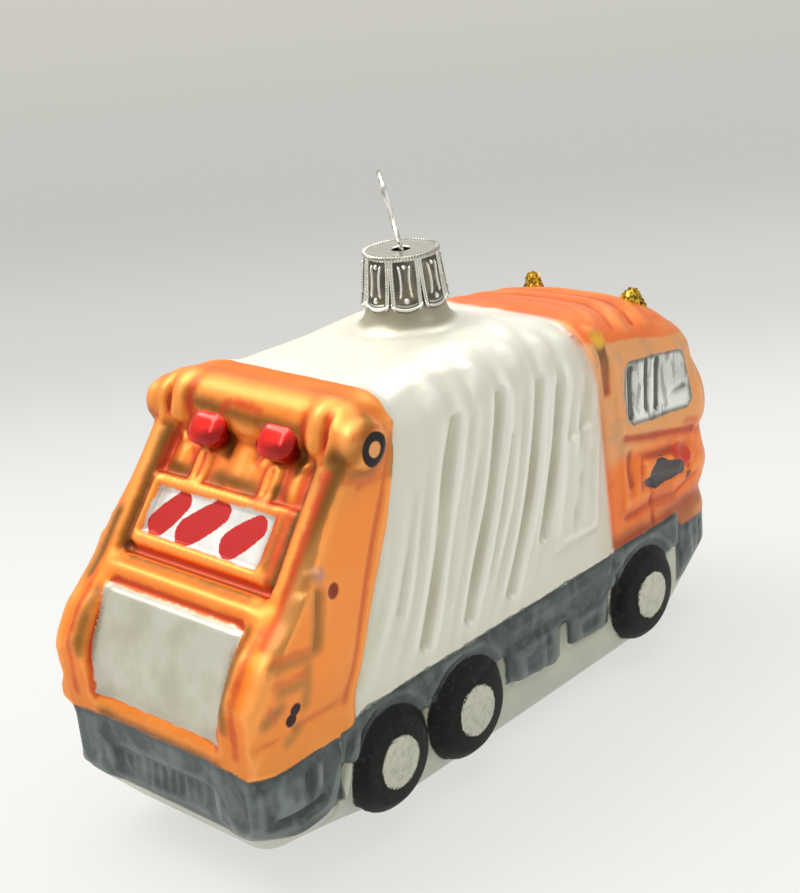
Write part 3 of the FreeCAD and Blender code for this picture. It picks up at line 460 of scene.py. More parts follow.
MARKER_OUTLINE = ((14.4, 6.4), (14.0, 14.0), (-11.6, 14.4), (-11.3, 6.0))
WINDOW_OUTLINE = (
    (34.0, 56.3), (40.5, 55.6), (47.6, 54.6), (49.9, 53.9), (51.1, 52.2), (51.7, 48.2), (51.4, 44.2),
    (50.3, 43.1), (40.0, 43.7), (34.6, 44.4), (33.2, 45.8), (32.8, 50.7), (33.0, 55.2))
HANDLE_OUTLINE = (
    (37.0, 33.2), (38.4, 34.9), (40.3, 36.5), (42.3, 36.3), (43.5, 35.2), (47.3, 34.2), (49.0, 33.0),
    (48.8, 30.9), (43.0, 31.1), (40.2, 30.6), (38.0, 31.7))
# the gate's sloping face in (x, z): its foot, its run and the way out of it
SLOPE_FOOT = np.array((-51.7, 43.9))
SLOPE_RUN = np.array((15.1, 19.0))
SLOPE_LENGTH = float(np.hypot(*SLOPE_RUN))
SLOPE_UP = SLOPE_RUN / SLOPE_LENGTH
SLOPE_OUT = np.array((-SLOPE_UP[1], SLOPE_UP[0]))
ROLL_AXIS = np.array((-32.7, 64.4))


class Relief:
    """Heights over the skin in millimetres, drawn on the faces of the truck.

    Each face is a plane with two coordinates: side (x, z), slope (y, up the slope),
    rear (y, z), top (x, y), front (y, z) and roll (y, turn about the hinge roll's axis).
    """

    def __init__(self, points, normals):
        x, y, z = points.T
        nx, ny, nz = normals.T
        self.points = points
        self.height = np.zeros(len(points))
        self.stains = {}
        from_foot = np.stack([x, z], axis=1) - SLOPE_FOOT
        up = from_foot @ SLOPE_UP
        facing = nx * SLOPE_OUT[0] + nz * SLOPE_OUT[1]
        about = np.stack([x, z], axis=1) - ROLL_AXIS
        near_roll = ease(np.hypot(about[:, 0], about[:, 1]), 6.0, 4.8)
        turn = np.degrees(np.arctan2(about[:, 1], -about[:, 0]))
        self.faces = {
            "side": (x, z, ease(abs(ny), 0.3, 0.7) * (abs(y) > 11)),
            "slope": (y, up, ease(facing, 0.35, 0.7) * (x < -27) * (z > 38)),
            "rear": (y, z, ease(-nx, 0.3, 0.7) * (x < -48) * (z < 45)),
            "top": (x, y, ease(nz, 0.3, 0.7) * (z > 50)),
            "front": (y, z, ease(nx, 0.3, 0.7) * (x > 45)),
            "roll": (y, turn, near_roll),
        }

    def field(self, face, measure, path):
        """The places that matter on a face, their share, and a measure of them."""
        across, up, share = self.faces[face]
        at = np.nonzero(share > 0.01)[0]
        spots = np.stack([across[at], up[at]], axis=1)
        return at, share[at], measure(spots, path)

    def ridge(self, face, path, width, height):
        """A soft round ridge along a path or a knob at a point; sunk where height is negative."""
        at, share, distance = self.field(face, line_distance, path)
        self.height[at] += share * height * ease(distance, width, 0)

    def draw(self, face, rows):
        """Ridges and knobs in turn, each a path or a point, its half width and its height."""
        for path, width, height in rows:
            self.ridge(face, path, width, height)

    def plate(self, face, outline, height, edge):
        """A raised field with an edge that wide."""
        at, share, depth = self.field(face, inside, outline)
        self.height[at] += share * height * ease(depth, -edge / 2, edge / 2)

    def stain(self, name, face, path, width):
        """Marks paint along a path: how far inside its edge each point is."""
        mark = self.stains.setdefault(name, np.full(len(self.height), -FAR))
        at, share, distance = self.field(face, line_distance, path)
        mark[at] = np.maximum(mark[at], np.where(share > 0.3, width - distance, -FAR))


# each fold's place at its foot from the rear end, foot and head heights, half width, depth
BIN_FOLDS = (
    (20.4, 24.0, 49.0, 1.3, 0.25), (24.6, 24.5, 57.0, 1.7, 0.50), (29.2, 25.0, 60.0, 1.5, 0.35),
    (32.6, 24.0, 64.0, 1.8, 0.55), (37.4, 23.5, 71.0, 2.2, 0.95), (41.2, 25.0, 69.0, 1.5, 0.50),
    (45.0, 24.0, 67.0, 1.6, 0.60), (48.6, 23.5, 71.0, 2.2, 1.00), (52.2, 25.0, 66.0, 1.4, 0.50),
    (55.4, 24.0, 69.0, 1.6, 0.60), (59.0, 23.5, 71.0, 2.1, 0.95), (62.2, 25.0, 64.0, 1.3, 0.40),
    (65.2, 27.0, 70.0, 2.0, 0.85), (69.0, 36.0, 66.0, 1.5, 0.50), (72.6, 42.0, 68.0, 1.8, 0.65),
)


def lean(height):
    """How far forward a fold of the bin's side has come at a height."""
    rise = height - 26.5
    return 0.5 * rise - 0.0045 * rise * rise


def bin_relief(relief):
    """Slanting folds of the sides, lobes and folds of the crown, the hatch by the cab."""
    x, y, z = relief.points.T
    share = relief.faces["side"][2]
    place = x - REAR_END - lean(np.minimum(z, 66))
    sway = 0.55 * np.sin(z / 7.5 + place / 5)
    for spot, low, high, width, depth in BIN_FOLDS:
        along = ease(z, low - 4, low + 13) * ease(z, high + 2, high - 22)
        along = along * (0.8 + 0.2 * np.sin(z / 3.7 + spot))
        relief.height -= share * depth * along * ease(abs(place + sway - spot), width, 0)
        crest = 0.45 * depth * ease(abs(place + sway - spot - width * 1.15), width * 0.9, 0)
        relief.height += share * along * crest
    # each rib ends in a soft lobe under the crown's edge
    for spot in (34.0, 44.6, 53.6, 61.6, 68.8):
        head = spot + REAR_END + lean(65.5)
        relief.ridge("side", (head, 65.0), 3.4, 0.35)
        relief.draw("top", (((head + 0.4, -17.5), 3.2, 0.30), ((head + 0.4, 17.5), 3.2, 0.30)))
    # long shallow folds over the crown
    relief.draw("top", (
        (((-24, 14), (-8, 17), (8, 12)), 3.0, 0.25), (((-20, -13), (-6, -9), (6, -14)), 2.6, -0.12),
        (((-22, 3), (-10, 5)), 2.5, 0.20), (((10, 9), (20, 13), (25, 11)), 2.6, 0.25),
        (((9, -8), (16, -14), (23, -15)), 2.4, -0.12), (((14, 2), (24, 0)), 2.6, 0.20),
        (((-23, -17), (-14, -15.5), (-4, -17)), 1.6, 0.20)))
    # the folds of the hatch near the cab
    relief.draw("side", (
        (((13.5, 51.5), (14.5, 57.5)), 1.6, -0.40), (((19.5, 46), (20.5, 56)), 1.3, -0.35),
        (((11.0, 33), (15.8, 47.0)), 0.8, 0.30), (((21.5, 32), (23.2, 46.5)), 0.8, 0.30),
        (((12.5, 31.5), (21.0, 31.0)), 0.9, 0.30), (((15.5, 47.8), (23.5, 48.8)), 0.9, 0.30),
        (((17.0, 34.0), (18.6, 41.0)), 1.2, -0.40), (((20.2, 37.0), (21.2, 44.0)), 0.9, -0.25)))
    # the crown swells where the neck was drawn out of it
    from_neck = np.hypot(x - NECK_X, y)
    relief.height += 0.25 * ease(from_neck, 18, 9.5) * (z > 66) * (from_neck > 7.0)


def gate_relief(relief):
    """The gate's rails, shoulders, pressed borders and lamp stems, and the hinge roll."""
    for mirror in (-1, 1):
        # side rails: a groove inside each, and a swelling where it meets the roll
        relief.draw("slope", (
            (((15.9 * -mirror, 2), (15.6 * -mirror, 23)), 1.2, -0.35),
            (((18.6 * -mirror, -3), (18.2 * -mirror, 23)), 2.4, 0.45),
            ((17.4 * -mirror, 24.6), 1.9, 0.8), ((15.0 * -mirror, 25.4), 1.4, 0.6),
            ((13.2 * -mirror, 22.3), 1.0, 0.45)))
        # the gate's shoulders beside the hopper
        relief.draw("rear", (
            (((17.6 * -mirror, 42), (17.2 * -mirror, 27)), 2.6, 0.55),
            (((14.6 * -mirror, 42), (14.6 * -mirror, 28)), 1.0, -0.35),
            ((15.6 * -mirror, 42.8), 1.6, 0.7),
            (((14.2 * -mirror, 26.6), (17.6 * -mirror, 28.0)), 0.7, -0.5)))
    relief.ridge("slope", ((15.2, 5.2), (14.9, 15.0)), 1.0, 0.5)
    # the frame's borders ripple across, as a pressed edge does
    across, up, share = relief.faces["slope"]
    for middle, half in ((14.9, 1.3), (5.3, 1.3)):
        band = ease(abs(up - middle), half, half - 0.7) * (abs(across) < 14.5) * share
        relief.height += band * 0.16 * np.sin(across * 2 * math.pi / 1.25)
    # bowls round the lamps' feet, and the stems' two edges
    for lamp in (7.5, -7.5):
        relief.draw("slope", (
            (((lamp - 1.3, 16.4), (lamp - 1.3, 21)), 0.6, 0.35),
            (((lamp + 1.3, 16.4), (lamp + 1.3, 21)), 0.6, 0.35),
            (((lamp, 17.0), (lamp, 20.6)), 0.8, -0.45),
            (((lamp - 4.2, 21.5), (lamp - 4.0, 26)), 1.3, -0.35),
            (((lamp + 4.2, 21.5), (lamp + 4.0, 26)), 1.3, -0.35), ((lamp + 3.4, 21.2), 0.9, 0.5),
            ((lamp + 3.4, 21.2), 0.4, -0.4)))
    for middle, half in ((0.0, 2.4), (12.4, 1.4), (-12.4, 1.4)):
        relief.ridge("slope", ((middle, 18.4), (middle, 23.5)), half + 0.8, 0.5)
    # the hinge roll: plain middle, a collar each side, a groove, an end knob
    y, turn, share = relief.faces["roll"]
    aside = abs(y)
    relief.height += share * (0.55 * ease(abs(aside - 14.8), 1.9, 0.3)
                              - 0.45 * ease(abs(aside - 12.3), 1.0, 0)
                              - 0.45 * ease(abs(aside - 17.2), 0.9, 0))
    over = ease(turn, 20, 80) * ease(turn, 160, 110)
    relief.height += share * over * 0.9 * ease(aside, 20.5, 17.5)


def shaded(relief):
    """Painted shade on the gate's steep flanks, where the lacquer looks olive and dark."""
    for path, width in (
            (((-11.5, 26.8), (0, 27.0), (12, 27.6)), 0.6), (((-15.4, 22), (-15.7, 4)), 0.9),
            (((-19.6, 24), (-20.6, 8), (-21.5, -3)), 1.5), (((16.4, 23), (16.6, 3)), 0.8),
            (((13.5, 2.4), (-13.0, 2.4)), 0.7), (((-10.5, 17.6), (-9.6, 17.8)), 0.9),
            (((-4.2, 17.5), (3.8, 17.6)), 0.8), (((11.0, 17.4), (13.6, 17.6)), 0.9),
            (((-12.4, 24.6), (-12.2, 22.0)), 0.9), (((12.6, 28), (12.3, 31)), 0.6),
            (((4.0, 24.4), (3.4, 21.6)), 0.5), (((-11.2, 24.4), (-11.6, 21.6)), 0.5),
            (((-13.8, 14.4), (-13.6, 7.0)), 0.6), (((19.6, 8), (20.2, -2)), 1.0)):
        relief.stain("shaded", "slope", path, width)
    for path, width in (
            (((16.6, 41), (16.4, 33)), 0.6), (((-16.2, 42), (-16.2, 30)), 0.6),
            (((13, 24.0), (-14, 23.4)), 0.3)):
        relief.stain("shaded", "rear", path, width)
    for path, width in (
            (((-45.9, 46.4), (-47.6, 39.0)), 0.9), (((-56.6, 39.4), (-49.0, 38.4)), 0.6),
            (((-58.0, 31.6), (-55.6, 32.6)), 0.9), (((-55.4, 35.4), (-50.4, 34.9)), 0.5),
            (((-49.8, 37.0), (-50.4, 31.0)), 0.5), (((-24.9, 66), (-27.2, 58.5)), 0.8),
            (((-35.4, 60.6), (-31.4, 60.0)), 0.7), (((-51.8, 28.0), (-54.6, 26.6)), 0.4)):
        relief.stain("shaded", "side", path, width)


def pressed(relief):
    """Painted borders and pools that gather the lacquer along the gate's lines."""
    for path in (
            ((-3.5, 28.3), (2, 28.6), (4.5, 28), (5.2, 25), (6, 22.5), (7, 20.5), (7.3, 17.5)),
            ((-9.5, 27), (-10.3, 24), (-9.8, 22), (-10.8, 20), (-10.6, 17)),
            ((12.0, 27.5), (10.6, 26.0), (10.8, 22.0), (9.4, 19.0)), ((-6, 16.0), (-10.5, 15.8)),
            ((-13.9, 22), (-14.4, 12), (-14.8, 3.0)), ((14.6, 24), (15.4, 17)),
            ((13.6, 3.6), (-12.8, 3.8)), ((-12.4, 15), (-12.0, 8)), ((-12.6, 25.5), (-12.4, 29)),
            ((-17.2, 25), (-17.1, 30)), ((12.5, 26), (12.4, 30)),
            ((-18.9, 22), (-19.6, 8), (-20.0, -4))):
        relief.stain("pooled", "slope", path, 0.35)
    for mirror in (-1, 1):
        relief.stain("pooled", "rear", ((14.4 * mirror, 42.5), (14.0 * mirror, 26.4)), 0.4)
        relief.stain("pooled", "rear", ((18.4 * mirror, 42.5), (18.2 * mirror, 26.0)), 0.3)
    relief.stain("pooled", "rear", ((14.0, 42.8), (-14.0, 42.8)), 0.25)
    for path in (
            ((-30, 55.6), (-32.8, 49.1), (-36.4, 40.5), (-40.2, 31.5), (-42.3, 27.6)),
            ((-37, 60), (-33.5, 58.8), (-28.8, 58.3)), ((-56.6, 40.4), (-48.6, 39.2)),
            ((-56.4, 36.6), (-50.8, 36.3)), ((-61.4, 36), (-57.4, 40.6), (-46.4, 52), (-38.8, 62)),
            ((-57.6, 33.6), (-56.4, 31)), ((-35.6, 66.4), (-30.0, 67.0)),
            ((-28.6, 62), (-30.8, 60))):
        relief.stain("pooled", "side", path, 0.32)
    for path in (
            ((31.6, 42.9), (40.6, 40.4), (52.2, 38.1)), ((31.5, 28.1), (39.7, 27.6), (46.6, 26.2)),
            ((49.5, 40.8), (53.0, 39.8)), ((44, 36.6), (47.4, 35.6), (50.3, 33.0)),
            ((39.1, 32.5), (39.4, 25.0))):
        relief.stain("pooled", "side", path, 0.35)


GATE_BOX = ((-51.4, 47.6), (-46.8, 46.8), (-48.6, 39.9), (-56.6, 41.1))
# how much of the gate's side relief the left side has
LEFT_SHARE = 0.4


def gate_side_relief(relief):
    """The steps and dents of the gate's sides, fainter on the left."""
    across, up, share = relief.faces["side"]
    relief.faces["side"] = (across, up, share * np.where(relief.points[:, 1] > 0, LEFT_SHARE, 1.0))
    gate_side_lines(relief)
    relief.faces["side"] = (across, up, share)


def gate_side_lines(relief):
    """The box, the dents and the two long edges of one side of the gate."""
    relief.plate("side", GATE_BOX, 0.95, 0.8)
    relief.draw("side", (
        (((-51.2, 47.2), (-47.0, 46.4)), 0.9, 0.35), (((-45.9, 46.4), (-47.6, 39.0)), 1.2, -0.8),
        (((-56.8, 39.6), (-48.6, 38.6)), 0.9, -0.4), (((-56.2, 37.6), (-50.6, 37.3)), 0.8, 0.4),
        (((-57.6, 35.4), (-51.5, 35.2)), 1.0, -0.25),
        (((-55.2, 34.0), (-53.0, 34.4), (-50.7, 32.9)), 0.7, 0.55), ((-56.4, 32.2), 1.5, -0.6),
        ((-52.4, 31.2), 1.2, 0.45), ((-53.3, 30.0), 1.1, 0.45),
        (((-57.8, 29.4), (-54.0, 28.2)), 1.1, 0.3), ((-45.1, 49.1), 1.2, 0.7),
        (((-48.2, 49.6), (-45.6, 49.4)), 0.8, 0.35), ((-42.8, 45.8), 1.3, -0.45),
        ((-34.4, 58.3), 0.7, -0.5),
        (((-38.4, 61.5), (-42.3, 55.5), (-47.5, 50.5), (-57.6, 40.6)), 1.5, -0.55),
        # the seam towards the bin, and the lip beside it
        (((-26.6, 64), (-29.9, 55.6), (-32.8, 49.1), (-36.4, 40.5), (-40.1, 31.5), (-42.6, 26.4)),
         0.8, -0.3),
        (((-25.4, 64), (-28.6, 55.6), (-31.4, 49.1), (-35.0, 40.5), (-38.8, 31.5), (-41.3, 26.4)),
         0.9, 0.3)))


def cab_relief(relief):
    """The cab's doors, windows, roof and nose."""
    # recess behind the door, door seam and the swage lines of the side
    relief.plate("side", ((26.4, 61.0), (29.1, 60.4), (28.9, 52.0), (26.9, 52.0)), -0.45, 0.8)
    relief.draw("side", (
        (((30.2, 58.5), (31.4, 45), (31.8, 30)), 0.9, 0.3),
        (((39.1, 33.0), (39.4, 24.2)), 0.6, -0.4),
        (((31.6, 42.9), (40.6, 40.8), (52.2, 38.6)), 1.1, -0.35),
        (((32.2, 41.0), (40.8, 38.9), (52.4, 36.8)), 1.3, 0.3),
        (((31.5, 28.1), (39.7, 28.4), (46.6, 27.4), (52.5, 29.5)), 1.1, -0.35),
        (((32.0, 30.6), (40.0, 30.6), (46.8, 30.0)), 1.2, 0.3),
        (((33.4, 40.0), (32.8, 37.0), (33.6, 33.5)), 1.1, -0.35),
        (((35.6, 37.5), (35.2, 31.8)), 0.9, 0.35), ((50.4, 31.6), 1.2, -0.5),
        ((47.2, 36.6), 2.1, 0.45), ((50.8, 33.4), 1.6, 0.4),
        (((55.2, 55.5), (56.0, 48.0), (56.2, 41.0)), 0.9, -0.3),
        (((53.2, 54.5), (54.0, 44.0)), 0.9, 0.25),
        # folds of the side window's mirror
        (((35.0, 54.4), (34.9, 46.2)), 1.4, -0.7), (((38.2, 55.0), (37.6, 47.0)), 0.8, 0.3),
        (((39.9, 55.0), (39.4, 46.0)), 0.9, -0.6), (((41.3, 54.8), (40.8, 46.0)), 0.7, 0.3),
        (((42.9, 54.4), (42.2, 45.6)), 1.0, -0.75), (((46.5, 53.0), (45.6, 48.0)), 2.6, 0.25),
        (((45.6, 46.8), (50.6, 47.2)), 0.7, -0.3)))
    # soft folds running across the roof
    for start, width, height in (
            (27.5, 2.0, 0.25), (31.5, 1.4, -0.22), (34.0, 2.2, 0.35), (37.5, 1.3, -0.35),
            (40.5, 2.0, 0.30), (45.0, 1.5, -0.25)):
        relief.ridge("top", ((start, 15.5), (start + 4.5, 2), (start + 5.5, -9), (start + 2.0, -17)),
                     width, height)
    relief.ridge("top", (27.5, -17.0), 2.2, 0.5)
    # the roof is crowned
    x, y = relief.points.T[:2]
    share = relief.faces["top"][2]
    relief.height += share * 1.0 * ease(abs(y), 17, 4) * ease(x, 22, 30) * ease(x, 56, 46)
    # grille bars and lamps of the nose
    for height in (27.5, 30.0, 32.5, 35.0):
        relief.ridge("front", ((-12.5, height), (12.5, height)), 0.8, -0.45)
    relief.draw("front", (
        (((-15.5, 38.6), (15.5, 38.6)), 1.0, -0.4), (((-14.5, 56.6), (14.5, 56.6)), 1.1, 0.4)))
    for mirror in (-1, 1):
        relief.plate("front", ((9.0 * mirror, 13.0), (16.0 * mirror, 13.4), (16.6 * mirror, 18.2),
                               (9.4 * mirror, 17.8)), 0.5, 0.7)
        relief.draw("front", (
            (((1.5 * mirror, 55.0), (5.5 * mirror, 43.0)), 1.3, -0.3),
            (((9.0 * mirror, 54.5), (11.5 * mirror, 42.5)), 1.2, 0.3)))
    relief.ridge("front", ((-7.0, 15.4), (7.0, 15.4)), 1.2, -0.35)


def lower_relief(relief):
    """The bumpers, the tank and the locker, and the wheel arches."""
    # rear bumper: recess with upright ribs, a round corner post
    relief.plate("rear", ((-10.4, 14.2), (-10.4, 18.6), (11.4, 18.0), (12.6, 13.4)), -0.35, 0.8)
    for place in range(-9, 13, 2):
        relief.ridge("rear", ((place, 17.8), (place + 0.4, 14.4)), 0.7, 0.3 if place % 4 else 0.18)
    for mirror in (-1, 1):
        relief.draw("rear", (
            (((-12.6 * mirror, 18.4), (-12.2 * mirror, 13.4)), 0.8, 0.35),
            (((-14.2 * mirror, 18.6), (-13.8 * mirror, 13.4)), 0.7, -0.35)))
    # its side: lens box, slots, bent rails, flap, lower bar
    relief.plate("side", ((-57.6, 22.0), (-52.4, 22.4), (-52.6, 15.6), (-57.6, 15.2)), 0.5, 0.9)
    relief.draw("side", (
        ((-55.9, 18.0), 1.0, 0.5), (((-50.8, 22.4), (-51.1, 17.4)), 0.9, -0.7),
        (((-48.8, 22.6), (-49.4, 17.0)), 0.9, 0.5), (((-47.2, 22.8), (-47.8, 17.0)), 0.6, -0.4),
        (((-57.2, 15.0), (-53.0, 14.0), (-48.6, 14.6)), 1.0, -0.75),
        (((-60.6, 13.6), (-53.5, 11.6), (-48.0, 12.4), (-45.6, 16.4), (-43.8, 22.6)), 1.3, 0.75),
        (((-42.2, 22.8), (-44.0, 14.2), (-45.4, 9.6), (-47.0, 8.4)), 0.8, -0.6),
        (((-40.1, 23.2), (-42.6, 15.0), (-44.2, 10.0)), 0.9, 0.6),
        (((-59.6, 21.8), (-59.8, 14.6)), 0.8, 0.3)))
    # tank and locker between the wheels, each a soft box with a dent
    relief.plate("side", ((-2.6, 17.2), (9.6, 17.4), (8.6, 9.4), (-1.6, 10.6)), 0.45, 1.2)
    relief.plate("side", ((0.0, 15.4), (4.4, 15.6), (4.2, 11.4), (0.4, 11.8)), -0.4, 1.1)
    relief.ridge("side", ((6.2, 16.0), (5.8, 10.6)), 0.8, -0.4)
    relief.plate("side", ((13.4, 16.2), (23.4, 16.2), (22.2, 11.0), (13.4, 11.2)), 0.5, 1.2)
    relief.plate("side", ((15.6, 14.6), (20.2, 14.6), (19.8, 12.2), (15.8, 12.4)), -0.45, 1.0)
    relief.draw("side", (
        (((-24.0, 18.4), (25.0, 18.4)), 0.8, -0.25), (((-3.5, 20.6), (24.5, 20.8)), 1.4, 0.25),
        (((26.4, 22.6), (27.0, 17.5), (25.4, 12.5)), 1.0, -0.5)))
    # arches over the wheels
    for axle, radius in ((-33.1, 10.4), (-14.6, 10.2), (34.3, 10.3)):
        arch = [(axle + radius * math.cos(turn), 12.8 + radius * math.sin(turn))
                for turn in np.linspace(0.5, math.pi - 0.5, 12)]
        relief.ridge("side", arch, 1.0, 0.4)
    relief.draw("side", (
        (((47.0, 19.5), (48.2, 12.5)), 0.9, -0.5), (((50.8, 19.4), (51.6, 13.0)), 1.2, 0.4),
        (((54.6, 19.0), (55.0, 14.0)), 0.8, -0.35)))


def bulges(points):
    """Where the blown form swells past the plain mould: whole areas move, not their detail."""
    x, y, z = points.T
    side = np.sign(y) * ease(abs(y), 6, 16)
    move = np.zeros_like(points)
    # the rear bumper and the gate's foot swell out to the gate's own width
    tail = ease(x, -34, -50)
    low = ease(z, 28.5, 24.0) * ease(z, 3, 15)
    move[:, 1] += np.sign(y) * 2.5 * tail * low * ease(abs(y), 5, 16)
    move[:, 0] -= 1.9 * ease(x, -46, -54) * ease(z, 44, 28) * ease(z, 3, 15) * ease(abs(y), 10, 17)
    move[:, 1] += side * 1.9 * ease(x, -32, -48) * ease(z, 24, 36) * ease(z, 62, 42)
    # the gate's head closes over the roll up to the crown
    head = ease(x, -35, -32) * ease(x, -23.5, -25.5) * ease(abs(y), 20.5, 18) * (z > 63)
    crest = 69.4 + 0.05 * (x + 32.7)
    move[:, 2] += head * np.maximum(crest - z, 0) * ease(z, 63, 66)
    # the nose swells at the screen's foot, and draws in under the bumper's top
    nose = ease(x, 40, 56)
    for height, reach, out in ((42.5, 5.5, 1.5), (56, 4.0, 1.0), (31, 2.8, 1.0),
                               (24.5, 2.0, -0.8), (37.5, 1.6, -0.6)):
        move[:, 1] += side * out * nose * np.exp(-((z - height) / reach) ** 2)
    return move


REACH = 2.5
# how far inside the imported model's box the skin stays
MARGIN = 0.02


class Skin:
    """The whole glass surface once, with its zones and the fields its paints read."""

    made = {}

    @classmethod
    def get(cls, settings):
        """The skin for these settings, worked out once and kept."""
        key = (settings.skin_step, settings.softness)
        if key not in cls.made:
            cls.made[key] = cls(settings)
        return cls.made[key]

    def __init__(self, settings):
        points, quads = closed_skin(settings.skin_step)
        edges = neighbours(quads)
        points = soften(points, edges, settings.softness)
        self.quads = quads
        self.set_zones(points)
        points = points + bulges(points)
        normals = point_normals(points, quads)
        normals = soften(normals, edges, 3)
        relief = Relief(points, normals)
        for shape in (bin_relief, gate_relief, gate_side_relief, cab_relief, lower_relief,
                      shaded, pressed):
            shape(relief)
        self.repaint(relief, "slope", MARKER_OUTLINE, "marker", "gate")
        self.repaint(relief, "side", WINDOW_OUTLINE, "window", "cab")
        self.repaint(relief, "side", HANDLE_OUTLINE, "handle", "cab")
        height = soften(relief.height, edges, 2)
        points = points + normals * height[:, None]
        points = self.calmed(points, edges)
        points = self.flattened(points, relief.faces["slope"][2])
        self.points = self.kept_in(points)
        self.normals = point_normals(self.points, quads)
        self.fields = {name: soften(mark, edges, 2) for name, mark in relief.stains.items()}
        self.read_folds(edges)

    def set_zones(self, points):
        """Which node each face belongs to, and how deep each point lies in each paint."""
        self.distance = {}
        for paint, nodes in PAINTS.items():
            self.distance[paint] = self.gap_to(nodes, points)
        middle = points[self.quads].mean(axis=1)
        best = np.full(len(middle), np.inf)
        self.zone = np.zeros(len(middle), dtype=int)
        for index, node in enumerate(GLASS_NODES):
            low, high = box_mm(node)
            near = ((middle > low - REACH) & (middle < high + REACH)).all(axis=1)
            near = np.nonzero(near)[0]
            gap = self.gap_to((node,), middle[near])
            closer = gap < best[near]
            best[near[closer]] = gap[closer]
            self.zone[near[closer]] = index

    def repaint(self, relief, face, outline, paint, around):
        """A small field of paint fills its own outline, not its node's."""
        at, share, depth = relief.field(face, inside, outline)
        depth = np.where(share > 0.5, depth, -FAR)
        self.distance[paint][:] = FAR
        self.distance[paint][at] = np.maximum(-depth, 0)
        gap = self.distance[around]
        gap[at] = np.where(depth > -1.5, np.maximum(depth, 0), gap[at])

    @staticmethod
    def flattened(points, share):
        """The marker's field as one flat, sunk panel with its own outline."""
        from_foot = points[:, [0, 2]] - SLOPE_FOOT
        up, out = from_foot @ SLOPE_UP, from_foot @ SLOPE_OUT
        spots = np.stack([points[:, 1], up], axis=1)
        depth = np.where(share > 0.3, inside(spots, MARKER_OUTLINE), -FAR)
        middle = (depth > 2.0) & (abs(points[:, 1]) < 9)
        level = np.median(out[middle])
        move = (level - out) * ease(depth, -0.5, 0.5)
        points = points.copy()
        points[:, 0] += SLOPE_OUT[0] * move
        points[:, 2] += SLOPE_OUT[1] * move
        return points

    @staticmethod
    def calmed(points, edges):
        """Flows one form into the next where the glass was drawn or folded over."""
        x, y, z = points.T
        from_neck = np.hypot(x - NECK_X, y)
        neck = ease(from_neck, 9.5, 7.5) * ease(from_neck, 5.2, 5.9)
        neck *= ease(z, 72.6, 71.4) * ease(z, 64, 67)
        head = ease(x, -36, -33.5) * ease(x, -22, -24.5) * ease(z, 65, 67.5)
        hem = ease(x, -36, -44) * ease(abs(z - 24), 4.0, 2.0)
        elbow = ease(np.hypot(x + 52, z - 43.5), 6, 2) * ease(abs(y), 14.5, 17)
        share = np.maximum(neck, np.maximum(0.5 * head, 0.45 * np.maximum(hem, elbow)))
        return soften(points, edges, 60, 0.5 * share[:, None])

    @staticmethod
    def kept_in(points):
        """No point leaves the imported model's box, and the tail stays narrower than the roll."""
        low, high = (np.array(corner) / MM for corner in CAD_BOX)
        points = np.clip(points, low + MARGIN, high - MARGIN)
        x, y, z = points.T
        tail = (x < -46) | ((x < -36) & (z > 22.3))
        widest = np.where(tail, 22.0 + 0.9 * ease(abs(z - 27), 2, 9), high[1])
        points[:, 1] = np.clip(y, -widest, widest)
        return points

    @staticmethod
    def gap_to(nodes, points):
        """How far each point is from the nodes' surfaces, in millimetres up to FAR."""
        build = joined(nodes)
        nearest = BVHTree.FromBMesh(build).find_nearest
        build.free()
        result = np.full(len(points), FAR)
        for index, spot in enumerate(points * MM):
            hit = nearest(spot, FAR * MM)
            if hit[3] is not None:
                result[index] = hit[3] / MM
        return result

    def read_folds(self, edges):
        """How hollow the surface is: finely, over a few millimetres and over a panel."""
        near = spread(self.points, edges, degrees(edges, len(self.points)))
        smooth = soften(self.points, edges, 30)
        wide = soften(smooth, edges, 120)
        for name, level, times in (("crease", near, 2), ("hollow", smooth, 2), ("valley", wide, 4)):
            depth = ((level - self.points) * self.normals).sum(axis=1)
            self.fields[name] = soften(depth, edges, times)


# ------------------------------------------------------------------ paints of the glass
# the bin's pearl, from the painted highlight on its crown to the painted shade in its folds
PEARL_CLOUD = (0.80, 0.79, 0.69)
PEARL_SIDE_SHADE = (0.66, 0.64, 0.53)
PEARL_CREST_HIGHLIGHT = (0.93, 0.92, 0.85)
PEARL_CROWN_HIGHLIGHT = (1.0, 0.98, 0.90)
PEARL_FOLD_SHADE = (0.36, 0.345, 0.235)
PEARL_VALLEY_SHADE = (0.45, 0.44, 0.33)
NECK_SHADE = (0.30, 0.27, 0.18)
CAB_SPRAY = (0.60, 0.48, 0.38)
# the gate's orange, its painted highlight and shade, and its spots
GATE_FOOT = (0.62, 0.19, 0.02)
GATE_HEAD = (0.58, 0.15, 0.014)
GATE_DRIFT_AND_HIGHLIGHT = (1.0, 0.42, 0.10)
GATE_OLIVE_SHADE = (0.115, 0.055, 0.006)
GATE_POOL = (0.55, 0.040, 0.008)
RAIL_SHADE = (0.20, 0.09, 0.010)
FLANK_BRIGHT = (1.0, 0.44, 0.13)
RING_BLACK = (0.014, 0.010, 0.010)
RING_MIDDLE = (0.80, 0.36, 0.12)
SPOT_RED = (0.22, 0.02, 0.012)
SPOT_BLACK = (0.035, 0.010, 0.014)
SPOT_PALE = (0.52, 0.27, 0.20)
# the cab's oranges, its painted highlight, shade and reflections, and its spots
CAB_FOOT = (0.40, 0.12, 0.03)
CAB_DRIFT_AND_HIGHLIGHT = (1.0, 0.42, 0.13)
CAB_OLIVE_SHADE = (0.13, 0.055, 0.012)
CAB_POOL = (0.55, 0.04, 0.010)
COPPER_REFLECTION = (0.42, 0.30, 0.19)
DOOR_REFLECTION = (0.55, 0.10, 0.02)
DOOR_BLOB = (0.62, 0.035, 0.012)
DOOR_DENT = (0.12, 0.02, 0.01)
GOLD_GLINT = (1.0, 0.55, 0.03)
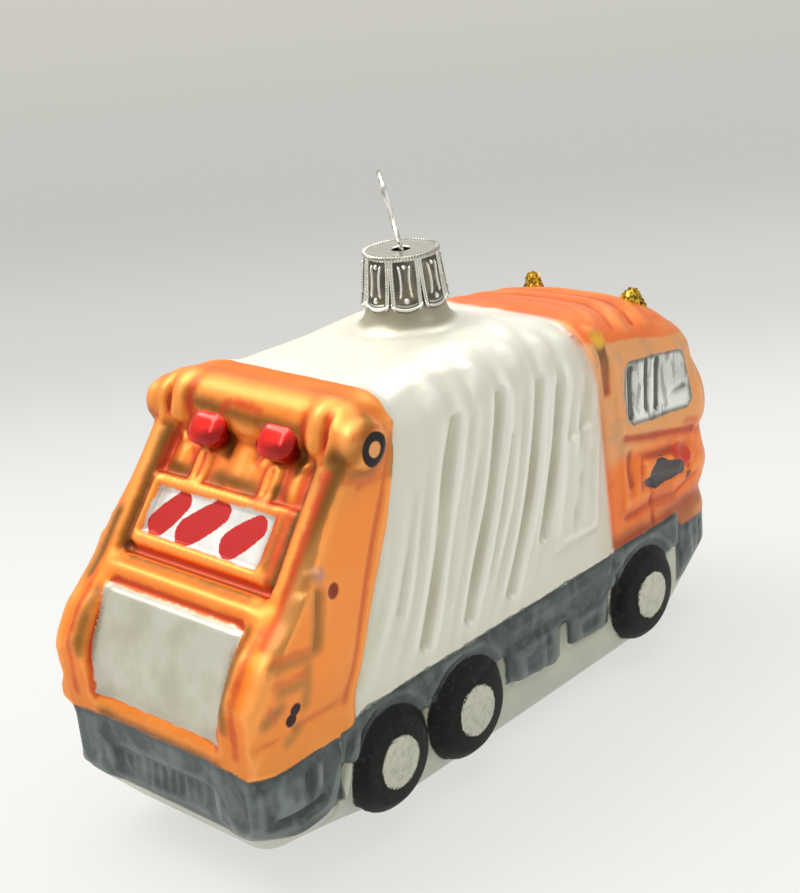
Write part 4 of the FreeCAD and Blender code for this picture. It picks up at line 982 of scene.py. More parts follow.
# slate, black and the pale paints below and behind, with painted highlights and painted shade
SLATE_LIGHT = (0.095, 0.12, 0.117)
SLATE_PATCH = (0.18, 0.21, 0.20)
SLATE_CREST_HIGHLIGHT = (0.27, 0.31, 0.29)
SLATE_EDGE = (0.030, 0.037, 0.037)
SLATE_FOLD_SHADE = (0.030, 0.038, 0.038)
TYRE_DUSTY = (0.022, 0.022, 0.019)
BELLY_PALE = (0.54, 0.55, 0.45)
BELLY_GREEN = (0.44, 0.47, 0.39)
BELLY_FOLD_SHADE = (0.25, 0.24, 0.17)
HUB_PALE = (0.56, 0.56, 0.45)
HUB_GREEN = (0.36, 0.39, 0.31)
HUB_FOLD_SHADE = (0.14, 0.15, 0.12)
HOPPER_PEARL = (0.57, 0.55, 0.46)
HOPPER_GREY = (0.38, 0.37, 0.27)
HOPPER_FOLD_SHADE = (0.28, 0.24, 0.15)
# the striped panel, the windows with their painted reflections and shade, and the door handles
PANEL_WHITE = (0.80, 0.79, 0.75)
PANEL_GREY = (0.62, 0.62, 0.58)
PANEL_FOLD_SHADE = (0.35, 0.20, 0.12)
STRIPE_THIN = (0.40, 0.022, 0.012)
SILVER_UPPER_REFLECTION = (0.62, 0.63, 0.58)
SILVER_CREST_HIGHLIGHT = (1.0, 1.0, 0.97)
SILVER_STREAK_REFLECTION = (0.24, 0.25, 0.22)
SILVER_FOLD_REFLECTION = (0.07, 0.07, 0.06)
WINDOW_RIM = (0.10, 0.075, 0.05)
SCREEN_FOLD_SHADE = (0.18, 0.18, 0.15)
HANDLE_BLACK = (0.035, 0.028, 0.03)
HANDLE_WORN = (0.11, 0.08, 0.06)


class Glass(Finish):
    """A finish on the skin: its base paint, and its neighbours' paints across wavy borders.

    Each paint gives its colour, its roughness and how much silver shows through it.
    """

    def __init__(self, name, settings):
        super().__init__(name)
        self.settings = settings
        grain = self.noise(0.9, 3, 0.6) - 0.5
        self.crease = self.attribute("crease")
        self.hollow = self.attribute("hollow")
        self.valley = self.attribute("valley")
        # creases (line) and hollows (low) take painted shade, ridges (high) take painted highlights
        self.line = (self.crease + grain * 0.006).step(0.012, 0.055)
        self.low = (self.hollow + grain * 0.05).step(0.02, 0.32)
        self.high = (grain * 0.05 - self.hollow).step(0.02, 0.26)
        self.cloud = self.noise(0.13, 3, 0.55)
        self.speck = self.noise(3.2, 2, 0.6)

    def white(self):
        """Pearl lacquer: painted shade in the folds, on the sides and round the neck, darker by the
        cab.
        """
        tint = self.blend(self.cloud.step(0.35, 0.7) * 0.5, self.settings.white, PEARL_CLOUD)
        # the sides take a painted shade, darker than the top
        flank = abs(self.y).step(14.0, 20.0)
        tint = self.blend(flank * 0.6, tint, PEARL_SIDE_SHADE)
        # painted shade in the folds and broad hollows, painted highlights on the crests
        painted_light_and_wear = self.blend(self.hollow.step(-0.08, 0.60) * (0.20 + 0.50 * flank), tint, PEARL_FOLD_SHADE)
        painted_light_and_wear = self.blend(self.valley.step(0.15, 0.9) * 0.30, painted_light_and_wear, PEARL_VALLEY_SHADE)
        painted_light_and_wear = self.blend(self.hollow.step(-0.03, -0.25) * 0.5, painted_light_and_wear, PEARL_CREST_HIGHLIGHT)
        # a painted shadow of the cap round the neck
        ahead = self.x - NECK_X
        from_neck = (ahead * ahead + self.y * self.y) ** 0.5
        painted_light_and_wear = self.blend(from_neck.step(8.6, 7.2) * 0.85, painted_light_and_wear, NECK_SHADE)
        # a painted highlight over the crown ahead of the neck
        crown = (self.x - 2).step(2, 14) * (self.z - 65).step(0, 4)
        painted_light_and_wear = self.blend(crown * 0.8, painted_light_and_wear, PEARL_CROWN_HIGHLIGHT)
        seam = self.attribute("to_cab").step(6.0, 1.0) * (68 - self.z).step(0, 6)
        painted_light_and_wear = self.blend(seam * 0.45, painted_light_and_wear, CAB_SPRAY)
        return painted_light_and_wear, self.cloud * 0.14 + 0.27, 0.30

    def belly(self):
        """Thin greenish paint over silver on the flat that the ornament stands on."""
        tint = self.blend(self.cloud.step(0.3, 0.7) * 0.6, BELLY_PALE, BELLY_GREEN)
        # painted shade in hollows and creases
        painted_light_and_wear = self.blend(self.low * 0.5 + self.line * 0.3, tint, BELLY_FOLD_SHADE)
        return painted_light_and_wear, self.cloud * 0.14 + 0.30, 0.45

    def lacquer(self, base, ridge, fold, pooled, ink=0.75):
        """Translucent lacquer: painted highlights on ridges, painted olive shade in hollows, red
        where it pools.
        """
        # ridge is the colour of the painted highlight and of the paler drift, fold that of the
        # painted shade
        drift = self.cloud.step(0.40, 0.75)
        deep = self.blend(0.5, base, pooled)
        tone = self.blend(drift * 0.25, base, ridge)
        # a painted highlight on the ridges
        tone = self.blend(self.high * 0.55, tone, ridge)
        # painted shade in broad valleys
        tone = self.blend(self.valley.step(0.05, 0.9) * 0.50, tone, fold)
        tone = self.blend(self.hollow.step(0.0, 0.12) * 0.65, tone, deep)
        # painted shade deeper in the hollows
        tone = self.blend(self.hollow.step(0.07, 0.27) * 0.85, tone, fold)
        fine = (self.crease + (self.speck - 0.5) * 0.008).step(0.004, 0.030)
        tone = self.blend(fine * ink * 0.8, tone, pooled)
        # painted shade along the gate's steep flanks, where the shaded marks lie
        edge = self.noise(0.5, 3, 0.6) - 0.5
        shade = self.attribute("shaded") + (self.cloud - 0.5) * 1.2 + edge * 0.8
        tone = self.blend(shade.step(-1.3, 0.8) * 0.85, tone, fold)
        pools = self.attribute("pooled")
        tone = self.blend((pools + edge * 1.2).step(-0.85, 0.30) * ink, tone, pooled)
        return tone

    def gate(self):
        """The tailgate's orange, darker at its foot and head, with its ring and dots."""
        settings = self.settings
        base = self.blend(self.z.step(38, 20) * 0.7, settings.orange, GATE_FOOT)
        base = self.blend(self.z.step(54, 61) * 0.6, base, GATE_HEAD)
        # the lacquer lays its painted highlight and painted olive shade over the base
        tone = self.lacquer(base, GATE_DRIFT_AND_HIGHLIGHT, GATE_OLIVE_SHADE, GATE_POOL)
        # the shadowed band beside the rail, and the painted spots
        rail = self.z - self.x * 1.04 - 101.2
        band = rail.step(-3.2, -0.6) * rail.step(3.0, 0.2)
        flank = abs(self.y).step(19.5, 21.0)
        tone = self.blend(band * flank * 0.6, tone, RAIL_SHADE)
        tone = self.blend(flank * (1 - band) * 0.30, tone, FLANK_BRIGHT)
        roll_end = self.away(-32.0, 63.6)
        dots = self.away(-52.4, 31.2).least(self.away(-53.3, 29.8))
        for away, radius, edge, share, paint in (
                (roll_end, 2.6, (0.15, -0.15), flank, RING_BLACK),
                (roll_end, 1.15, (0.15, -0.15), flank, RING_MIDDLE),
                (self.away(-42.8, 45.8), 1.25, (0.2, -0.2), flank * 0.9, SPOT_RED),
                (dots, 1.05, (0.2, -0.2), flank, SPOT_BLACK),
                (self.away(-45.2, 49.2), 1.2, (0.5, -0.3), flank * 0.7, SPOT_PALE)):
            tone = self.blend((away - radius).step(*edge) * share, tone, paint)
        return tone, self.cloud * 0.12 + 0.38, 0.50

    def away(self, x, z):
        """Distance from an axis across the truck, its outline a little uneven."""
        across = self.x - x
        up = self.z - z
        return (across * across + up * up) ** 0.5 + (self.cloud - 0.5) * 0.8

    def cab(self):
        """The cab's three oranges: roof, window band and doors, its spots and its painted light."""
        settings = self.settings
        wobble = (self.cloud - 0.5) * 2.4 + (self.speck - 0.5) * 0.5
        roof = (self.z + self.x * 0.194 - 66.5 + wobble).step(-0.35, 0.35)
        door = (self.z + wobble).step(41.5, 37.5)
        side = self.blend(door, settings.copper, settings.orange_red)
        base = self.blend(roof, side, settings.roof)
        base = self.blend((self.z + wobble).step(27.5, 24.0), base, CAB_FOOT)
        tone = self.lacquer(base, CAB_DRIFT_AND_HIGHLIGHT, CAB_OLIVE_SHADE, CAB_POOL, ink=0.5)
        flank = abs(self.y).step(17.0, 18.5)
        # patches of painted reflection: greyish copper on the window band, darker red on the doors
        reflection_patches = self.noise(0.16, 3, 0.6, distortion=0.6).step(0.48, 0.66)
        tone = self.blend(reflection_patches * (1 - door) * (1 - roof) * flank * 0.35, tone, COPPER_REFLECTION)
        tone = self.blend(reflection_patches * door * flank * 0.35, tone, DOOR_REFLECTION)
        blob = self.away(47.2, 35.4).least(self.away(49.4, 33.8))
        tone = self.blend((blob - 1.9).step(0.5, -0.4) * flank * 0.85, tone, DOOR_BLOB)
        dent = (self.away(50.3, 29.9) - 0.9).step(0.4, -0.3) * flank
        tone = self.blend(dent * 0.8, tone, DOOR_DENT)
        # painted shade in the recess behind the door
        recess = self.x.step(25.9, 26.6) * self.x.step(29.3, 28.6) * (self.z - 56.5).step(-4, 3)
        tone = self.blend(recess * flank * 0.75, tone, CAB_OLIVE_SHADE)
        # a painted highlight at the top rear corner of the cab's side
        glint = (self.away(27.8, 62.2) - 1.6).step(0.8, -0.8) * flank
        tone = self.blend(glint * 0.8, tone, GOLD_GLINT)
        return tone, self.cloud * 0.12 + 0.38, 0.50

    def grey(self):
        """Slate enamel, brushed on thin and streaky, dark along its edges."""
        streak = self.noise(0.28, 3, 0.55, stretch=(1.0, 1, 0.6), distortion=0.8)
        light = self.noise(0.18, 2, 0.5, stretch=(0.6, 1, 1.3))
        tint = self.blend(streak.step(0.40, 0.62), self.settings.grey, SLATE_LIGHT)
        tint = self.blend(light.step(0.50, 0.74) * 0.45, tint, SLATE_PATCH)
        # a painted highlight on the crests
        tint = self.blend(self.high * 0.50, tint, SLATE_CREST_HIGHLIGHT)
        near = self.attribute("to_white").least(self.attribute("to_gate"))
        near = near.least(self.attribute("to_cab")).least(self.attribute("to_belly"))
        edge = (near + (self.cloud - 0.5) * 2).step(1.6, 0.3)
        tint = self.blend(edge * 0.6, tint, SLATE_EDGE)
        # painted shade in hollows and creases
        tint = self.blend(self.low * 0.7 + self.line * 0.2, tint, SLATE_FOLD_SHADE)
        return tint, streak * 0.2 + 0.26, 0.25

    def tyre(self):
        """Black enamel."""
        streak = self.noise(0.8, 3, 0.6)
        tint = self.blend(streak.step(0.50, 0.75), self.settings.black, TYRE_DUSTY)
        return tint, streak * 0.25 + 0.42, 0.0

    def hub(self):
        """Mottled paint over silver."""
        mottle = self.noise(0.85, 3, 0.6)
        tint = self.blend(mottle.step(0.40, 0.70) * 0.6, HUB_PALE, HUB_GREEN)
        # painted shade in hollows
        tint = self.blend(self.low * 0.6, tint, HUB_FOLD_SHADE)
        return tint, mottle * 0.2 + 0.25, 0.55

    def hopper(self):
        """Pale paint, drifting from pearl to grey."""
        drift = self.cloud.step(0.38, 0.72)
        tint = self.blend(drift * 0.6, HOPPER_PEARL, HOPPER_GREY)
        # painted shade in hollows and creases
        tint = self.blend(self.low * 0.5 + self.line * 0.4, tint, HOPPER_FOLD_SHADE)
        return tint, self.cloud * 0.1 + 0.27, 0.40

    def stroke(self, start, end, wide, narrow):
        """A brush stroke over the sloping panel, from a wide foot to a narrow head."""
        across = self.y - start[0]
        up = self.up - start[1]
        run = (end[0] - start[0], end[1] - start[1])
        share = ((across * run[0] + up * run[1]) / (run[0] ** 2 + run[1] ** 2)).clamp()
        off_across = across - share * run[0]
        off_up = up - share * run[1]
        gap = (off_across * off_across + off_up * off_up) ** 0.5
        swell = share * (1 - share) * 0.8
        return (gap - self.mix(share, wide, narrow) - swell + self.ragged).step(0.12, -0.12)

    def marker(self):
        """White panel with three red brush strokes across it."""
        self.up = (self.x - SLOPE_FOOT[0]) * SLOPE_UP[0] + (self.z - SLOPE_FOOT[1]) * SLOPE_UP[1]
        bristle = self.noise(1.6, 3, 0.65)
        self.ragged = (bristle - 0.5) * 0.5
        tint = self.blend(self.cloud.step(0.3, 0.7), PANEL_WHITE, PANEL_GREY)
        # painted shade in hollows
        tint = self.blend(self.low * 0.5, tint, PANEL_FOLD_SHADE)
        red = self.stroke((11.7, 8.4), (8.3, 12.4), 2.25, 1.9)
        red = red.most(self.stroke((5.2, 8.3), (-0.2, 12.6), 2.45, 2.1))
        red = red.most(self.stroke((-4.6, 8.5), (-8.5, 12.0), 2.35, 1.95))
        thin = bristle.step(0.50, 0.75) * 0.6
        ink = self.blend(thin, self.settings.stripe, STRIPE_THIN)
        return self.blend(red, tint, ink), self.mix(red, 0.28, 0.45), self.mix(red, 0.35, 0.25)

    def window(self):
        """Bare silver with painted reflections: brighter below, bright crests, dark streaks and
        folds.
        """
        # the dark of the folds is a painted reflection
        dark = (self.hollow + (self.cloud - 0.5) * 0.1).step(0.03, 0.20).most(self.line * 0.5)
        # a painted reflection: the lower part brighter than the upper
        lower = (self.z - 47).step(2.5, -1.5)
        tint = self.blend(lower * 0.6, SILVER_UPPER_REFLECTION, self.settings.silver)
        # a painted highlight on the crests
        tint = self.blend(self.high * 0.7, tint, SILVER_CREST_HIGHLIGHT)
        # streaks of painted reflection
        streak = self.noise(0.42, 3, 0.6, stretch=(1.4, 1, 0.35), distortion=0.5)
        tint = self.blend(streak.step(0.50, 0.62) * 0.65, tint, SILVER_STREAK_REFLECTION)
        tint = self.blend(dark * 0.9, tint, SILVER_FOLD_REFLECTION)
        rim = (self.attribute("to_cab") + (self.cloud - 0.5)).step(1.0, 0.1)
        tint = self.blend(rim * 0.75, tint, WINDOW_RIM)
        return tint, self.cloud * 0.06 + 0.08, 0.95

    def screen(self):
        """Bare silver, a little darker where it hollows, as painted shade."""
        tint = self.blend(self.low * 0.6, self.settings.silver, SCREEN_FOLD_SHADE)
        return tint, self.cloud * 0.08 + 0.12, 0.90

    def handle(self):
        """Black enamel with brown wear."""
        painted_light_and_wear = self.speck.step(0.5, 0.75)
        tint = self.blend(painted_light_and_wear * 0.5, HANDLE_BLACK, HANDLE_WORN)
        return tint, 0.42, 0.0

    def painted(self, base, *others, coat=0.15, gloss=0.5):
        """The base paint, with each neighbour's beyond a border that wanders a little."""
        colour, rough, metal = getattr(self, base)()
        own = self.attribute("to_" + base)
        wander = (self.noise(0.42, 3, 0.6) - 0.5) * 1.1 + (self.speck - 0.5) * 0.25
        for other, blur in others:
            gap = own - self.attribute("to_" + other)
            mask = (gap + wander).step(-blur, blur)
            tint, other_rough, other_metal = getattr(self, other)()
            colour = self.blend(mask, colour, tint)
            rough = self.mix(mask, rough, other_rough)
            metal = self.mix(mask, metal, other_metal)
        peel = self.noise(0.30, 2, 0.5)
        normal = self.bump(peel, 0.10, 0.0005)
        normal = self.bump(self.speck, 0.06, 0.0001, normal)
        return self.surface(base_color=colour, roughness=rough, metallic=metal, normal=normal,
                            specular_ior_level=gloss, coat_weight=coat, coat_roughness=0.1)


# ------------------------------------------------------------------ pieces of glass
def shell_of(skin, node, material, wall):
    """One zone of the skin as a thin closed shell that stands for its node."""
    faces = skin.quads[skin.zone == GLASS_NODES.index(node)]
    used, faces = np.unique(faces, return_inverse=True)
    faces = faces.reshape(-1, 4)
    count = len(used)
    outer, normals = skin.points[used], skin.normals[used]
    ahead = np.concatenate([faces[:, [corner, (corner + 1) % 4]] for corner in range(4)])
    border = ~np.isin(ahead[:, 0] * count + ahead[:, 1], ahead[:, 1] * count + ahead[:, 0])
    start, end = ahead[border].T
    rim = np.stack([end, start, start + count, end + count], axis=1)
    every = np.concatenate([faces, faces[:, ::-1] + count, rim])
    points = np.concatenate([outer, outer - normals * wall])
    piece = mesh_object(node + "_glass", points, every, material)
    piece.data.normals_split_custom_set_from_vertices(np.concatenate([normals, -normals]))
    fields = dict(skin.fields)
    fields.update(("to_" + paint, depth) for paint, depth in skin.distance.items())
    for name, values in fields.items():
        if fields_read(material, name):
            set_floats(piece.data, name, np.tile(values[used], 2))
    return finished(piece, "glass", node)


def fields_read(material, name):
    """Whether a material reads an attribute of this name."""
    return any(node.bl_idname == "ShaderNodeAttribute" and node.attribute_name == name
               for node in material.node_tree.nodes)


def finished(piece, body, *nodes):
    """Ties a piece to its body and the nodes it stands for."""
    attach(piece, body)
    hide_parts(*nodes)
    return piece


def softened_node(node, voxel, times):
    """A rounded copy of a node: its points in millimetres and its quads."""
    points, quads = remeshed(node_copy(node), voxel)
    return soften(points, neighbours(quads), times), quads


# ------------------------------------------------------------------ geometry nodes
def grown(source, tree, inputs):
    """Runs a node tree on an object's mesh and leaves the result as its plain mesh."""
    modifier = source.modifiers.new("growth", "NODES")
    modifier.node_group = tree
    for item in tree.interface.items_tree:
        if item.item_type == "SOCKET" and item.name in inputs:
            modifier[item.identifier] = inputs[item.name]
    mesh = evaluated_mesh(source)
    source.modifiers.clear()
    source.data = mesh
    return source


class Growth(Nodes):
    """A geometry tree with named inputs; it ends in plain mesh and one material."""

    def __init__(self, name, inputs):
        super().__init__(bpy.data.node_groups.new(name, "GeometryNodeTree"))
        self.tree.interface.new_socket("Mesh", in_out="INPUT", socket_type="NodeSocketGeometry")
        for label, kind in inputs:
            self.tree.interface.new_socket(label, in_out="INPUT", socket_type=kind)
        self.tree.interface.new_socket("Mesh", in_out="OUTPUT", socket_type="NodeSocketGeometry")
        self.given = self.node("NodeGroupInput", out=None)

    def get(self, name):
        """One of the tree's named inputs."""
        return Flow(self.tree, self.given.outputs[name])

    def vector(self, x, y, z):
        """Three numbers as a vector."""
        return self.node("ShaderNodeCombineXYZ", {}, {"X": x, "Y": y, "Z": z})

    def finish(self, parts, material):
        """Joins the parts, makes them real and gives them their material."""
        joined = self.node("GeometryNodeJoinGeometry", out=None)
        for part in parts:
            self.tree.links.new(part.socket, joined.inputs[0])
        plain = self.node("GeometryNodeRealizeInstances", {},
                          {0: Flow(self.tree, joined.outputs[0])})
        done = self.node("GeometryNodeSetMaterial", {}, {"Geometry": plain, "Material": material})
        self.node("NodeGroupOutput", {}, {0: done}, out=None)
        return self.tree


def cap_tree(material):
    """Repeats one petal round the axis and sets a rope of beads round the rim."""
    grow = Growth("crown_cap_repeat", (("Petals", "NodeSocketInt"), ("Beads", "NodeSocketInt"),
                                       ("Rope radius", "NodeSocketFloat"),
                                       ("Rope height", "NodeSocketFloat"),
                                       ("Bead size", "NodeSocketFloat"),
                                       ("Axis ahead", "NodeSocketFloat")))
    petals, beads = grow.get("Petals"), grow.get("Beads")
    index = grow.node("GeometryNodeInputIndex")
    stack = grow.node("GeometryNodeMeshLine", {}, {"Count": petals, "Offset": (0, 0, 0)})
    turned = grow.vector(0.0, 0.0, index / petals * 2 * math.pi)
    ring = grow.node("GeometryNodeInstanceOnPoints", {},
                     {"Points": stack, "Instance": grow.get("Mesh"), "Rotation": turned})
    circle = grow.node("GeometryNodeMeshCircle", {}, {"Vertices": beads,
                                                      "Radius": grow.get("Rope radius")})
    bead = grow.node("GeometryNodeMeshUVSphere", {}, {"Segments": 8, "Rings": 6,
                                                      "Radius": grow.get("Bead size")})
    leaning = grow.vector(0.75, 0.0, index / beads * 2 * math.pi)
    rope = grow.node("GeometryNodeInstanceOnPoints", {},
                     {"Points": circle, "Instance": bead, "Rotation": leaning,
                      "Scale": (0.9, 0.55, 1.5)})
    rope = grow.node("GeometryNodeTransform", {},
                     {"Geometry": rope,
                      "Translation": grow.vector(0.0, 0.0, grow.get("Rope height"))})
    moved = [grow.node("GeometryNodeTransform", {},
                       {"Geometry": part,
                        "Translation": grow.vector(grow.get("Axis ahead"), 0.0, 0.0)})
             for part in (ring, rope)]
    return grow.finish(moved, material)


def glitter_tree(material):
    """Scatters flat flakes over a lump, each turned its own way."""
    grow = Growth("glitter", (("Density", "NodeSocketFloat"), ("Flake", "NodeSocketFloat"),
                              ("Seed", "NodeSocketInt")))
    seed = grow.get("Seed")
    spots = grow.node("GeometryNodeDistributePointsOnFaces", {},
                      {"Mesh": grow.get("Mesh"), "Density": grow.get("Density"), "Seed": seed})
    flake = grow.node("GeometryNodeMeshCylinder", {},
                      {"Vertices": 6, "Radius": grow.get("Flake"),
                       "Depth": grow.get("Flake") * 0.18})
    turn = grow.node("FunctionNodeRandomValue", {"data_type": "FLOAT_VECTOR"},
                     {"Min": (0, 0, 0), "Max": (6.28, 6.28, 6.28), "Seed": seed})
    size = grow.node("FunctionNodeRandomValue", {"data_type": "FLOAT"},
                     {2: 0.45, 3: 1.15, "Seed": seed}, out=1)
    flakes = grow.node("GeometryNodeInstanceOnPoints", {},
                       {"Points": spots, "Instance": flake, "Rotation": turn, "Scale": size})
    return grow.finish([grow.get("Mesh"), flakes], material)


# ------------------------------------------------------------------ cap, hanger, lamps, beacons
# the cap's pressed sheet with its painted highlight, the wire, the lamps with their painted shade
# and highlight, and the glitter
CAP_BRIGHT = (0.74, 0.74, 0.68)
CAP_DULL = (0.56, 0.55, 0.47)
CAP_SUNK_BLACK = (0.040, 0.032, 0.018)
CAP_SUNK_BROWN = (0.17, 0.145, 0.09)
CAP_CREST_HIGHLIGHT = (0.90, 0.90, 0.84)
WIRE_BRIGHT = (0.85, 0.85, 0.83)
WIRE_DULL = (0.42, 0.41, 0.38)
RUBY_LOW_SHADE = (0.16, 0.006, 0.004)
RUBY_LIT = (0.80, 0.10, 0.08)
FLAKE_SHADE = (0.20, 0.12, 0.012)
# heights that the cap's plain sheet passes for in its material: the plate's, the petals' backs'
# the plate's height puts it in the painted highlight, the backs' height in the darker sunk tone
PLAIN_SHEET = 0.15
PLAIN_BACK = -0.1
BEAD_ROWS = (0.80, 0.955)
BEADS_IN_ROW = 19


def petal_height(across, down):
    """The pressed pattern of one petal; across runs -1 to 1 and down from 0 to 1."""
    side = abs(across)
    height = -0.10 * ease(side, 0.78, 0.70)
    # two upright rows of beads along each edge
    for number, row in enumerate(BEAD_ROWS):
        bead = 0.5 + 0.5 * np.cos(down * 2 * math.pi * BEADS_IN_ROW + math.pi * number)
        height = height + 0.24 * ease(abs(side - row), 0.075, 0.0) * (0.25 + 0.75 * bead)
    # two bars, back to back
    bow = 0.27 + 1.15 * (down - 0.43) ** 2
    ends = ease(down, 0.10, 0.18) * ease(down, 0.76, 0.68)
    height = height + 0.34 * ease(abs(side - bow), 0.115, 0.02) * ends
    # a dot above and a dot below
    for spot, size in ((0.15, 0.055), (0.79, 0.065)):
        away = np.hypot(across * 0.30, down - spot)
        height = height + 0.34 * ease(away, size, 0.015)
    # the rolled hem
    height = height + 0.26 * ease(abs(down - 0.945), 0.045, 0.0)
    height = height + 0.14 * ease(abs(down - 0.875), 0.025, 0.0) * ease(side, 0.75, 0.6)
    return height


def make_petal(settings, top, foot):
    """One closed petal of pressed sheet about the Z axis, with its pattern's height."""
    columns, rows = ((49, 88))
    across, down = np.meshgrid(np.linspace(-1, 1, columns), np.linspace(0, 1, rows))
    height = petal_height(across, down)
    half = math.pi / settings.petals * (1 - 0.075 * ease(down, 0.25, 1.0))
    turn = across * half
    scallop = 0.9 * (1 - across ** 2) ** 0.7 - 0.45
    radius = settings.rim + (settings.hem - settings.rim) * down ** 1.5
    flat = 0.22 * (1 - across ** 2) * ease(down, 0.0, 0.25) - 0.12 * ease(down, 0.3, 1.0)
    z = top - (top - foot - 0.45) * down - scallop * ease(down, 0.55, 1.0)
    points, heights = [], []
    for lift, shown in ((height, height), (-settings.sheet, np.full_like(height, PLAIN_BACK))):
        around = radius + flat + lift
        points.append(np.stack([around * np.cos(turn), around * np.sin(turn), z], axis=2))
        heights.append(shown)
    points = np.concatenate([part.reshape(-1, 3) for part in points])
    count = rows * columns
    index = np.arange(count).reshape(rows, columns)
    outer = np.stack([index[:-1, :-1], index[1:, :-1], index[1:, 1:], index[:-1, 1:]],
                     axis=2).reshape(-1, 4)
    ring = np.concatenate([index[0, :], index[1:, -1], index[-1, -2::-1], index[-2:0:-1, 0]])
    ahead = np.roll(ring, -1)
    rim = np.stack([ring, ahead, ahead + count, ring + count], axis=1)
    faces = np.concatenate([outer, outer[:, ::-1] + count, rim])
    return points, faces, np.concatenate([part.ravel() for part in heights])


def revolve(profile, steps, ahead=0.0):
    """A closed ring of quads from a closed profile of (radius, height)."""
    profile = np.array(profile)
    turn = np.linspace(0, 2 * math.pi, steps, endpoint=False)
    radius, height = profile[:, 0], profile[:, 1]
    points = np.stack([np.outer(np.cos(turn), radius) + ahead, np.outer(np.sin(turn), radius),
                       np.tile(height, (steps, 1))], axis=2).reshape(-1, 3)
    size = len(profile)
    index = np.arange(steps * size).reshape(steps, size)
    following = np.roll(index, -1, axis=0)
    return points, np.stack([index, following, np.roll(following, -1, axis=1),
                             np.roll(index, -1, axis=1)], axis=2).reshape(-1, 4)


def outward(thing):
    """Recalculates the normals of a piece of closed shells."""
    build = bmesh.new()
    build.from_mesh(thing.data)
    bmesh.ops.recalc_face_normals(build, faces=build.faces)
    build.to_mesh(thing.data)
    build.free()


def metal_finish():
    """Pressed sheet: a painted highlight on its pattern and plate, darker where the pattern is sunk.
    """
    finish = Finish("cap_metal_sheet")
    relief = finish.attribute("relief")
    stain = finish.noise(0.5, 3, 0.6)
    # darker where the pattern is sunk, and on the petals' backs
    sunk = (relief + (stain - 0.5) * 0.10).step(0.07, -0.10)
    tint = finish.blend(stain.step(0.4, 0.7), CAP_BRIGHT, CAP_DULL)
    patch = finish.noise(0.28, 3, 0.6, distortion=0.6)
    dark = finish.blend(patch.step(0.42, 0.62), CAP_SUNK_BLACK, CAP_SUNK_BROWN)
    tint = finish.blend(sunk * 0.9, tint, dark)
    # a painted highlight on the raised pattern and on the plate
    tint = finish.blend(relief.step(0.10, 0.22), tint, CAP_CREST_HIGHLIGHT)
    scratches = finish.noise(2.5, 2, 0.5, stretch=(1, 1, 0.15))
    return finish.surface(base_color=tint, roughness=stain * 0.2 + 0.16, metallic=1.0,
                          normal=finish.bump(scratches, 0.12, 0.0002))


# how far the tail lamps swell past their nodes, and where along the slope that begins
LAMP_SWELL = 0.32
LAMP_SINK = 0.22
LAMP_FOOT = (21.0, 22.2)


def make_cap(settings):
    """The cap's petals and rope as one piece, and its plate as another."""
    low, high = box_mm("crown_cap")
    ahead = (low[0] + high[0]) / 2
    top = high[2]
    material = metal_finish()
    points, faces, heights = make_petal(settings, top - 0.55, low[2])
    petal = mesh_object("cap_petals", points, faces, material)
    set_floats(petal.data, "relief", heights)
    inputs = {"Petals": settings.petals, "Beads": settings.beads,
              "Rope radius": (settings.rim - 0.12) * MM, "Rope height": (top - 0.42) * MM,
              "Bead size": 0.36 * MM, "Axis ahead": float(ahead) * MM}
    petal = grown(petal, cap_tree(material), inputs)
    outward(petal)
    finished(petal, "crown_cap", "crown_cap")
    # the plate: a little dished, its hole's lip turned down
    hole, rim = settings.hole, settings.rim
    profile = [(hole, top - 0.35), (hole + 0.08, top - 0.22), (hole + 0.35, top - 0.16),
               (rim * 0.55, top - 0.24), (rim - 0.75, top - 0.20), (rim - 0.45, top - 0.12),
               (rim - 0.15, top - 0.28), (rim + 0.02, top - 0.55), (rim + 0.02, top - 0.9),
               (rim - 0.25, top - 0.9), (rim - 0.35, top - 0.6), (rim * 0.55, top - 0.55),
               (hole + 0.2, top - 0.62), (hole, top - 0.55)]
    plate_points, plate_faces = revolve(profile, 96, float(ahead))
    plate = mesh_object("cap_plate", plate_points, plate_faces, material)
    outward(plate)
    set_floats(plate.data, "relief", np.full(len(plate_points), PLAIN_SHEET))
    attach(plate, "crown_cap")


def make_hanger():
    """The hanger's wire, rounded, with the dull lines that drawing leaves."""
    finish = Finish("drawn_wire")
    dull = finish.noise(1.2, 3, 0.6, stretch=(1, 1, 0.4))
    tint = finish.blend(dull.step(0.4, 0.65), WIRE_BRIGHT, WIRE_DULL)
    lines = finish.noise(6.0, 2, 0.5, stretch=(1, 1, 0.1))
    material = finish.surface(base_color=tint, roughness=dull * 0.25 + 0.15, metallic=1.0,
                              normal=finish.bump(lines, 0.15, 0.0001))
    points, quads = softened_node("hanger", 0.13, 5)
    finished(mesh_object("hanger_wire", points, quads, material), "hanger", "hanger")


